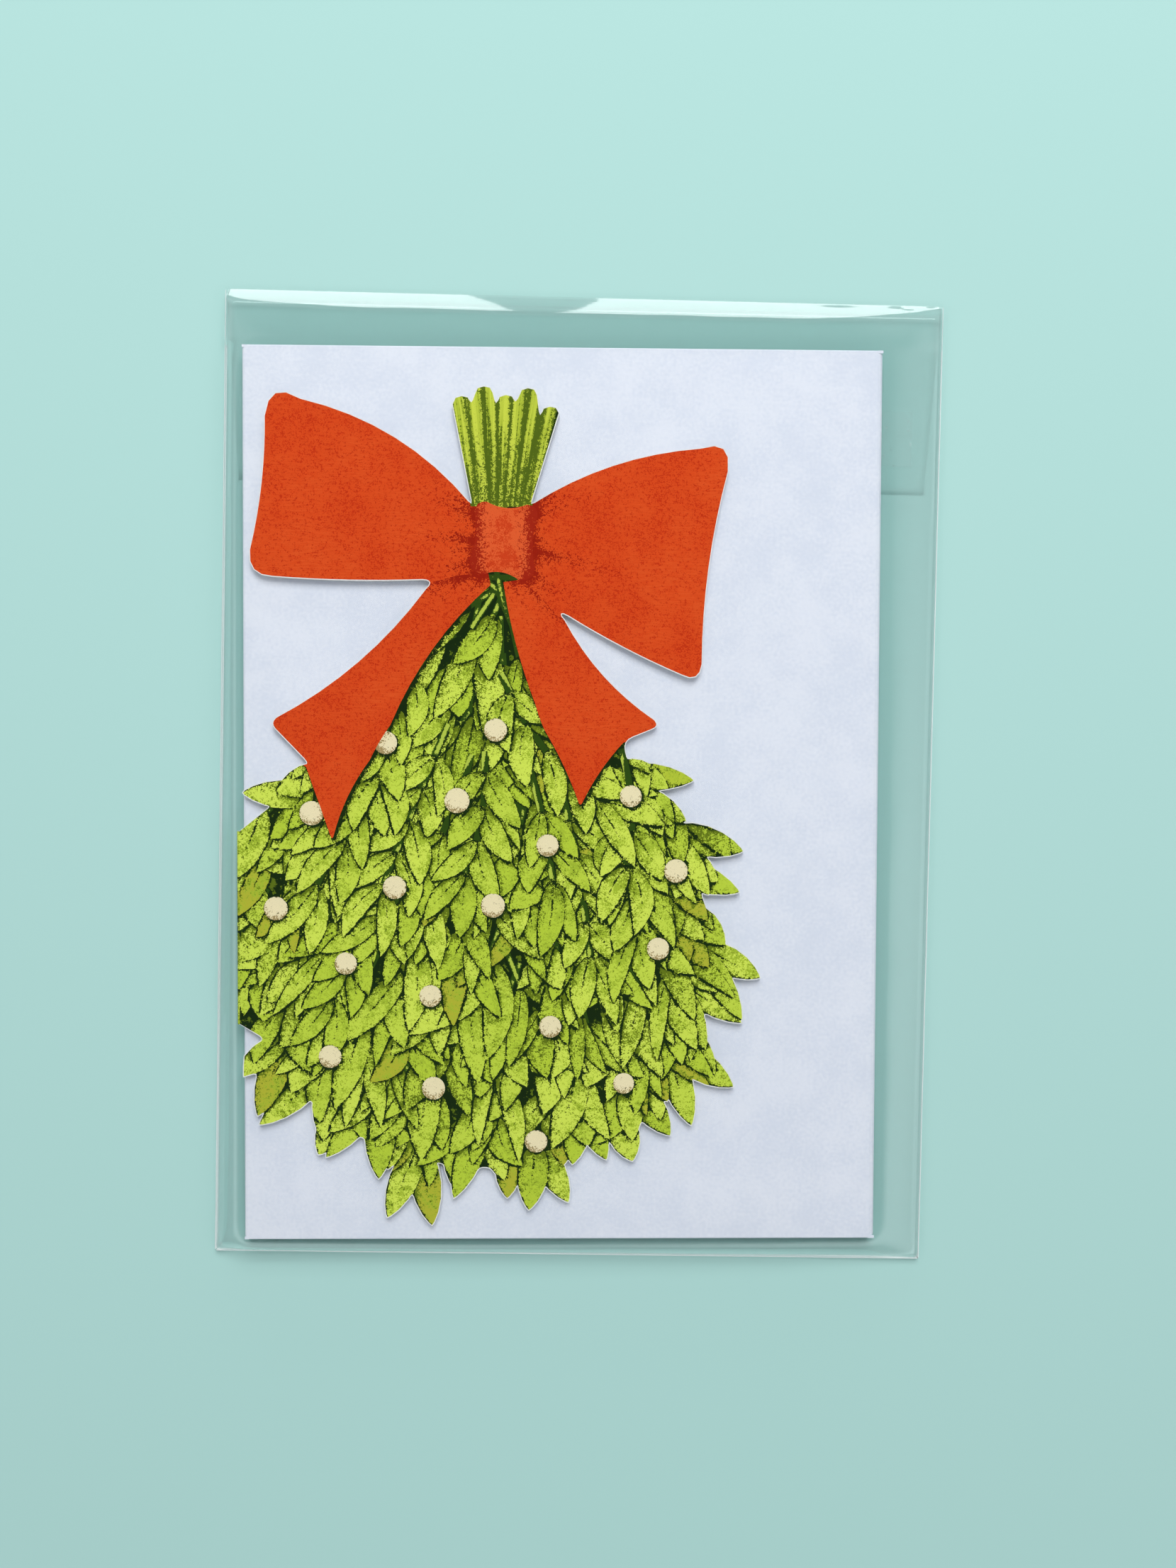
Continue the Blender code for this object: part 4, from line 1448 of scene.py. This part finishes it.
@dataclass
class ClearSleeve:
    """The pouch's two films, their welded edges, and the flap folded behind.

    Attributes:
        crease_bend: how fast the front film's slope eases behind the upper crease.
        crease_least: the least that this slope comes down to.
        swell_least: share of the front film's lift that is left at its upper corners.
        swell_run: how far from the corners the lift is whole.
        swell_start: how far the left corner is into that run already.
        swell_haste: how much faster than at the left the lift grows at the right.
        plateau_round: how softly the fall starts at the level part's corners.
        edge_round: how softly the film's edges meet at its corners.
        crease_round: how softly the upper crease meets the rest.
        run_least: keeps the fall's run from being zero.
        side_share: how much of the way past side_from counts towards the step.
        step_round: how softly the step turns its corner.
        ripple_scale: how close the waves stand, per metre.
        ripple_peak: makes up for the waves' small size.
        crumple_scale: how close the small folds stand, per metre.
        crumple_inset: how far in from the corner they are centred, across and along.
        crumple_reach: where they end and where they are whole, from that centre.
        still_rim: width of the rim that neither waves nor folds move.
    """

    layout: Layout
    film: float = 0.06 * MM
    fold_start: float = math.radians(32.0)
    crease_bend: float = 13.2
    crease_least: float = 0.34
    swell_least: float = 0.18
    swell_run: float = 42.0 * MM
    swell_start: float = 16.0 * MM
    swell_haste: float = 1.8
    plateau_round: float = 5.0 * MM
    edge_round: float = 1.5 * MM
    crease_round: float = 0.25 * MM
    run_least: float = 0.001 * MM
    side_share: float = 0.4
    step_round: float = 2.0 * MM
    ripple_scale: float = 70.0
    ripple_peak: float = 8.0
    crumple_scale: float = 420.0
    crumple_inset: tuple[float, float] = (4.0 * MM, 2.2 * MM)
    crumple_reach: tuple[float, float] = (5.0 * MM, 1.0 * MM)
    still_rim: float = 0.8 * MM
    envelope_half: tuple[float, float] = (46.25 * MM, 64.9 * MM)
    margin: float = 0.9 * MM
    edge_slope: float = 3.0 * MM
    back_slope: float = 4.0 * MM
    lip_setback: float = 1.1 * MM
    flap_clearance: float = 0.6 * MM
    flap_columns: int = 60
    flap_rows: int = 12
    fold_steps: int = 12
    flap_taper: float = 2.0 * MM
    weld_radius: float = 0.08 * MM
    weld_wander: float = 0.08 * MM
    weld_points: int = 180
    unbounded: float = 1.0
    half_width: float = field(init=False)
    bottom: float = field(init=False)
    table: float = field(init=False)
    rim: Vector = field(init=False)

    def __post_init__(self) -> None:
        """Take the sleeve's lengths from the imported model."""
        hinge = self.layout.hinge
        self.table = self.film / 2
        radius = hinge.z - self.table
        self.half_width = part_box("sleeve_flap")[1].x
        self.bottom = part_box("sleeve")[0].y + self.film / 2
        self.rim = Vector((0.0, hinge.y + radius * math.sin(self.fold_start),
                           hinge.z + radius * math.cos(self.fold_start)))

    def drape_tree(self) -> bpy.types.NodeTree:
        """Geometry nodes that lay a grid over the contents, from named sizes."""
        kinds = {socket_name(size.name): "Int" if size.type is int else "Float" for size in fields(Drape)}
        graph, given = new_group("GeometryNodeTree", "draped_film", kinds | {"Finish": "Material"},
                                 ("Film", "Geometry"))
        grid = graph.out("GeometryNodeMeshGrid", {
            "Size X": given["Width"], "Size Y": given["Length"], "Vertices X": given["Columns"],
            "Vertices Y": given["Rows"]}, "Mesh")
        position = graph.out("GeometryNodeInputPosition")
        x, y, _ = graph.parts(position)
        crowded = graph.math("MAXIMUM", 0.5 - y / given["Length"], 0.0) ** given["Crowding"] * given["Length"]
        spread = graph.out("GeometryNodeSetPosition", {
            "Geometry": grid, "Position": graph.join(x, given["Top"] - crowded)})
        offset = graph.join(0.0, 0.0, self.drape_height(graph, given, position))
        draped = graph.out("GeometryNodeSetPosition", {"Geometry": spread, "Offset": offset})
        graph.dressed(graph.out("GeometryNodeSetShadeSmooth", {0: draped}), given["Finish"])
        return graph.tree

    def drape_height(self, graph: Graph, given: dict[str, Term], position: Term) -> Term:
        """How high the film lies at each place.

        Args:
            graph: the drape's nodes.
            given: the drape's named sizes.
            position: the place on the film.

        Returns:
            The height.
        """
        x, y, _ = graph.parts(position)
        centre = graph.join(given["Plateau X"], given["Plateau Y"])
        back = graph.out("ShaderNodeVectorRotate", {
            "Vector": position, "Center": centre, "Angle": given["Turn"] * -1.0}, rotation_type="Z_AXIS")
        local_x, local_y, _ = graph.parts(graph.vector("SUBTRACT", back, centre))
        beyond = local_y - given["Half Height"]
        past = graph.math("SMOOTH_MAX", abs(local_x) - given["Half Width"],
                          abs(local_y) - given["Half Height"], self.plateau_round)
        past = graph.math("MAXIMUM", past, 0.0)
        half = given["Width"] * 0.5
        to_side = half - abs(x)
        to_top = given["Open End"] - y
        to_low = y - given["Top"] + given["Length"]
        to_edge = graph.math("SMOOTH_MIN", to_side, graph.math("MINIMUM", to_low, to_top), self.edge_round)
        to_edge = graph.math("MAXIMUM", to_edge, 0.0)
        fall = past / graph.math("MAXIMUM", past + to_edge, self.run_least)
        past_side = (x - given["Side From"]) * self.side_share
        stepped = graph.math("SMOOTH_MAX", y - given["Step From"], past_side, self.step_round)
        level = given["Level"] + graph.between(stepped, 0.0, given["Step Run"], given["Step"])

        swell = self.swell(graph, x, half) * graph.between(beyond, -1.0 * MM, 1.0 * MM)
        kept = 1.0 - swell * given["Lift"]
        fallen = (given["Edge Level"] - level) * kept * fall ** given["Sag"]
        slope = given["Crease Slope"] - to_top * self.crease_bend
        crease = to_top * graph.math("MAXIMUM", slope, self.crease_least) + given["Edge Level"]
        height = graph.math("SMOOTH_MIN", level + fallen, crease, self.crease_round)

        waves = graph.noise(position, self.ripple_scale, 1.5) - 0.5
        ripple = waves * (fall * (1.0 - fall)) * (given["Ripple"] * self.ripple_peak)
        corner = graph.join(half - self.crumple_inset[0], given["Open End"] - self.crumple_inset[1])
        from_corner = graph.vector("DISTANCE", position, corner, output="Value")
        folds = graph.noise(position, self.crumple_scale, 1.0) - 0.5
        crumple = folds * given["Crumple"] * graph.between(from_corner, *self.crumple_reach)
        rim = graph.between(graph.math("MINIMUM", to_top, to_side), 0.0, self.still_rim)
        return height + (ripple + crumple) * rim

    def swell(self, graph: Graph, x: Term, half: Term) -> Term:
        """Share of its lift that the film has across the sleeve: less at its ends, uneven between.

        Args:
            graph: the drape's nodes.
            x: the place across the sleeve.
            half: half of the film's width.

        Returns:
            The share.
        """
        ends = graph.math("MINIMUM", x + half + self.swell_start, (half - x) * self.swell_haste)
        grown = graph.between(ends, 0.0, self.swell_run, 1.0 - self.swell_least) + self.swell_least
        return grown * (graph.noise(graph.join(x, 0.0, 0.5), 55.0, 1.0) * 0.4 + 0.8)

    def lay_film(self, name: str, tree: bpy.types.NodeTree, drape: Drape,
                 finish: bpy.types.Material) -> bpy.types.Object:
        """Make one film of the pouch from the tree, with its thickness."""
        values = {socket_name(size): value for size, value in asdict(drape).items()}
        return grow(name, tree, values | {"Finish": finish}, self.film)

    def films(self) -> tuple[Drape, Drape]:
        """The sizes of the front and the back film."""
        centre = self.layout.centre
        lip = self.layout.hinge.y - self.lip_setback
        back_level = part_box("sleeve_adhesive")[1].z + 0.2 * MM + self.film / 2
        both = {"width": 2 * self.half_width, "edge_level": self.rim.z,
                "crease_slope": math.tan(self.fold_start)}
        front = Drape(
            **both, length=self.rim.y - self.bottom, top=self.rim.y, columns=141, rows=251,
            plateau_x=centre.x, plateau_y=centre.y, half_width=self.envelope_half[0] + self.margin,
            half_height=self.envelope_half[1] + self.margin, turn=self.layout.turn,
            level=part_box("sleeve")[1].z - self.film / 2, open_end=self.rim.y, sag=1.2, crowding=1.6,
            step=-0.8 * MM, step_from=57.3 * MM, step_run=6.7 * MM, side_from=28.5 * MM, lift=0.9,
            ripple=0.1 * MM, crumple=0.12 * MM)
        back = Drape(
            **both, length=lip - self.bottom, top=lip, columns=71, rows=101,
            plateau_x=0.0, plateau_y=self.bottom + self.edge_slope + self.unbounded,
            half_width=self.half_width - self.edge_slope, half_height=self.unbounded,
            level=self.table, open_end=self.unbounded, sag=2.0, step=back_level - self.table,
            step_from=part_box("sleeve_flap")[0].y - self.back_slope,
            step_run=self.back_slope - self.flap_clearance)
        return front, back

    def flap(self, finish: bpy.types.Material) -> bpy.types.Object:
        """The flap's film, from the pouch's top edge round the fold and down behind."""
        hinge = self.layout.hinge
        bm = bmesh.new()
        row = [bm.verts.new((-self.half_width + 2 * self.half_width * index / self.flap_columns,
                             self.rim.y, self.rim.z)) for index in range(self.flap_columns + 1)]
        edges = [bm.edges.new(pair) for pair in zip(row, row[1:])]
        bmesh.ops.spin(bm, geom=edges, cent=hinge, axis=(-1.0, 0.0, 0.0),
                       angle=math.pi - self.fold_start, steps=self.fold_steps)
        hem = [edge for edge in bm.edges if edge.is_boundary
               and all(abs(vert.co.z - self.table) < 0.001 * MM for vert in edge.verts)]
        step = (hinge.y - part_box("sleeve_flap")[0].y) / self.flap_rows
        for _ in range(self.flap_rows):
            laid = bmesh.ops.extrude_edge_only(bm, edges=hem)["geom"]
            for vert in laid:
                if isinstance(vert, bmesh.types.BMVert):
                    vert.co.y -= step
                    vert.co.x *= 1 - self.flap_taper / self.flap_rows / self.half_width
            hem = [edge for edge in laid if isinstance(edge, bmesh.types.BMEdge)]
        bmesh.ops.recalc_face_normals(bm, faces=bm.faces)
        carrier = mesh_object("flap_film", bm, finish)
        carrier.data.shade_smooth()
        thicken(carrier, self.film)
        flap = plain_mesh(carrier, "sleeve_flap_film")
        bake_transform(flap)
        return flap

    def weld_tree(self) -> bpy.types.NodeTree:
        """Geometry nodes that run an uneven bead along a line."""
        kinds = {"Start": "Vector", "End": "Vector", "Radius": "Float", "Points": "Int", "Wander": "Float",
                 "Finish": "Material"}
        graph, given = new_group("GeometryNodeTree", "weld_bead", kinds, ("Bead", "Geometry"))
        line = graph.out("GeometryNodeCurvePrimitiveLine", {"Start": given["Start"], "End": given["End"]})
        points = graph.out("GeometryNodeResampleCurve", {"Curve": line, "Count": given["Points"]})
        wave = graph.out("ShaderNodeTexNoise", {
            "Vector": graph.out("GeometryNodeInputPosition"), "Scale": 160.0}, "Color")
        shift = graph.vector("SCALE", graph.vector("SUBTRACT", wave, (0.5, 0.5, 0.5)), scale=given["Wander"])
        moved = graph.out("GeometryNodeSetPosition", {"Geometry": points, "Offset": shift})
        profile = graph.out("GeometryNodeCurvePrimitiveCircle", {"Resolution": 8, "Radius": given["Radius"]})
        graph.dressed(graph.out("GeometryNodeCurveToMesh", {
            "Curve": moved, "Profile Curve": profile, "Fill Caps": True}), given["Finish"])
        return graph.tree

    def welds(self, finish: bpy.types.Material) -> bpy.types.Object:
        """The bead along each side weld and the bottom fold, as one piece."""
        tree = self.weld_tree()
        corners = [Vector((side * self.half_width, y, self.rim.z)) for side, y in (
            (-1, self.rim.y), (-1, self.bottom), (1, self.bottom), (1, self.rim.y))]
        bm = bmesh.new()
        for start, end in zip(corners, corners[1:]):
            inset = (end - start).normalized() * self.weld_radius * 2
            bead = grow("bead", tree, {
                "Start": start + inset, "End": end - inset, "Radius": self.weld_radius,
                "Points": self.weld_points, "Wander": self.weld_wander, "Finish": finish})
            bm.from_mesh(bead.data)
            bpy.data.objects.remove(bead, do_unlink=True)
        bmesh.ops.recalc_face_normals(bm, faces=bm.faces)
        welds = mesh_object("sleeve_edge_welds", bm, finish)
        welds.data.shade_smooth()
        return welds

    def build(self) -> None:
        """Make every piece of the sleeve and hand it over."""
        film = ClearFilm("clear_film").build()
        tree = self.drape_tree()
        front, back = self.films()
        hand_over(self.lay_film("sleeve_front_film", tree, front, film), "pouch", "film", "sleeve")
        hand_over(self.lay_film("sleeve_back_film", tree, back, film), "pouch", "film")
        # The welds get a strong white diffuse coat, a painted highlight for the thin bright line along the
        # sleeve's edges.
        hand_over(self.welds(ClearFilm("welded_film", gloss=0.06, haze=0.55).build()), "pouch", "film")
        # The flap's film is a lighter copy of the same film, clearer and with a lower index: painted light
        # that keeps the stretch under three films as bright as that under two.
        lightened_flap_film = ClearFilm("flap_film", clarity=(0.995, 0.998, 0.998, 1.0), index=1.28).build()
        hand_over(self.flap(lightened_flap_film), "", "film", "sleeve_flap")
        dress_node("sleeve_adhesive", ClearAdhesive("clear_adhesive").build())


# ------------------------------------------------------------------------ the envelope


@dataclass
class PaperEnvelope:
    """The envelope under the card: its folded paper and its dried gum."""

    paper: Paper = Paper("envelope_paper", shade(233, 236, 246), shade(222, 227, 240), nap=2.2, cloud=0.14,
                         roughness=0.8, sheen=0.2, nap_strength=0.5, nap_height=0.05 * MM)
    gummed: tuple[str, ...] = ("envelope_flap_gum", "envelope_seam_upper", "envelope_seam_lower")

    def build(self) -> None:
        """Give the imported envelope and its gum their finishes."""
        dress_node("envelope", self.paper.build())
        gum = DriedGum("dried_gum").build()
        for name in self.gummed:
            dress_node(name, gum)


# ------------------------------------------------------------------------ studio


@dataclass
class Studio:
    """The floor, the light and the camera.

    Attributes:
        walls: strength of the room's light.
        ring: extra strength of its light above the horizon.
        shaded_side: share of it that is left towards +Y.
        ceiling: strength of its light overhead.
        window_rise: how high the windows reach, from the floor, as angles.
        window_gap: width of the gap between them, at the bottom and at the top.
        film_faces: how many film faces a ray may pass.
    """

    layout: Layout
    floor_size: float = 3.0
    floor_drop: float = 0.05 * MM
    walls: float = 0.32
    ring: float = 0.95
    shaded_side: float = 0.15
    ceiling: float = 0.02
    ceiling_from: float = 0.64
    ceiling_to: float = 0.86
    room_colour: Colour = (0.97, 0.985, 1.0, 1.0)
    window_radiance: float = 3.5
    window_distance: float = 1.0
    window_rise: tuple[float, float] = (math.radians(4.6), math.radians(13.0))
    window_middle: float = -0.04
    window_gap: tuple[float, float] = (0.118, 0.034)
    window_rows: int = 8
    window_width: float = 0.46
    key_place: Vector = field(default_factory=lambda: Vector((0.042, 0.6, 0.7)))
    key_size: float = 0.57
    key_radiance: float = 8.0
    camera_place: Vector = field(default_factory=lambda: Vector((0.99, 6.5, 173.5)) * MM)
    camera_turn: Matrix = field(default_factory=lambda: Matrix((
        (0.99986, 0.00438, 0.01591), (-0.00395, 0.99964, -0.02646),
        (-0.01602, 0.02640, 0.99952))).transposed())
    sensor: float = 36.0
    lens: float = 36.04
    nearest: float = 0.01
    film_faces: int = 32

    def floor(self) -> None:
        """Lay a plain pale floor just under the set."""
        bm = bmesh.new()
        bmesh.ops.create_grid(bm, x_segments=1, y_segments=1, size=self.floor_size / 2)
        floor = mesh_object("floor", bm, StudioFloor("pale_floor").build())
        floor.data.transform(Matrix.Translation((0.0, 0.0, -self.floor_drop)))

    def softbox(self, name: str, place: Vector, size: tuple[float, float],
                radiance: float) -> bpy.types.Object:
        """A rectangle of even light that faces the set.

        Args:
            name: the lamp's name.
            place: its middle.
            size: its width and height.
            radiance: its brightness, as a white surface's would be counted.

        Returns:
            The lamp.
        """
        lamp = bpy.data.lights.new(name, "AREA")
        lamp.shape = "RECTANGLE"
        lamp.size, lamp.size_y = size
        lamp.energy = radiance * math.pi * size[0] * size[1]
        obj = add_object(name, lamp)
        facing = Vector((0.0, -place.y, -place.z)).to_track_quat("-Z", "Y")
        obj.matrix_world = Matrix.Translation(place) @ facing.to_matrix().to_4x4()
        return obj

    def room(self) -> None:
        """Light the set from a pale room with a dark ceiling."""
        world = bpy.data.worlds.new("room")
        world.use_nodes = True
        graph = Graph(world.node_tree)
        _, towards_top, rise = graph.parts(graph.out("ShaderNodeTexCoord", output="Generated"))
        side = graph.out("ShaderNodeMapRange", {
            "Value": towards_top, "From Min": -0.1, "From Max": 0.45, "To Min": 1.0,
            "To Max": self.shaded_side})
        light = graph.between(rise, 0.25, 0.6, self.ring) * side + self.walls
        overhead = graph.between(rise, self.ceiling_from, self.ceiling_to)
        graph.feed(world.node_tree.nodes["Background"], {
            "Strength": light * (1.0 - overhead) + self.ceiling, "Color": self.room_colour})
        bpy.context.scene.world = world

    def windows(self) -> None:
        """Set two windows beyond the sleeve's folded end, closer together at their tops."""
        low, high = self.window_rise
        size = (self.window_width, (high - low) / self.window_rows * self.window_distance)
        for row in range(self.window_rows):
            share = (row + 0.5) / self.window_rows
            rise = low + (high - low) * share
            gap = self.window_gap[0] + (self.window_gap[1] - self.window_gap[0]) * share
            for side in (-1, 1):
                x = self.window_middle + side * (gap + self.window_width) / 2
                place = Vector((x, math.cos(rise) * self.window_distance,
                                math.sin(rise) * self.window_distance))
                self.softbox(f"window_row_{row}_{side}", place, size, self.window_radiance)

    def camera(self) -> None:
        """Look down on the set from above its middle."""
        data = bpy.data.cameras.new("camera")
        data.sensor_fit = "HORIZONTAL"
        data.sensor_width = self.sensor
        data.lens = self.lens
        data.clip_start = self.nearest
        camera = add_object("camera", data)
        place = Matrix.Translation(self.camera_place) @ self.camera_turn.to_4x4()
        camera.matrix_world = self.layout.envelope_frame @ place
        bpy.context.scene.camera = camera

    def build(self) -> None:
        """Set up the camera, the lights and the floor."""
        self.camera()
        self.room()
        self.windows()
        key = self.softbox("key", self.key_place, (self.key_size, self.key_size), self.key_radiance)
        key.visible_glossy = False
        self.floor()
        bpy.context.scene.view_settings.view_transform = "Standard"
        bpy.context.scene.cycles.transparent_max_bounces = self.film_faces


def main() -> None:
    """Build the studio and the set."""
    logging.basicConfig(level=logging.INFO, format="%(message)s")
    layout = Layout()
    Studio(layout).build()
    PaperEnvelope().build()
    PrintedCard(layout).build()
    ClearSleeve(layout).build()


if __name__ == "__main__":
    main()
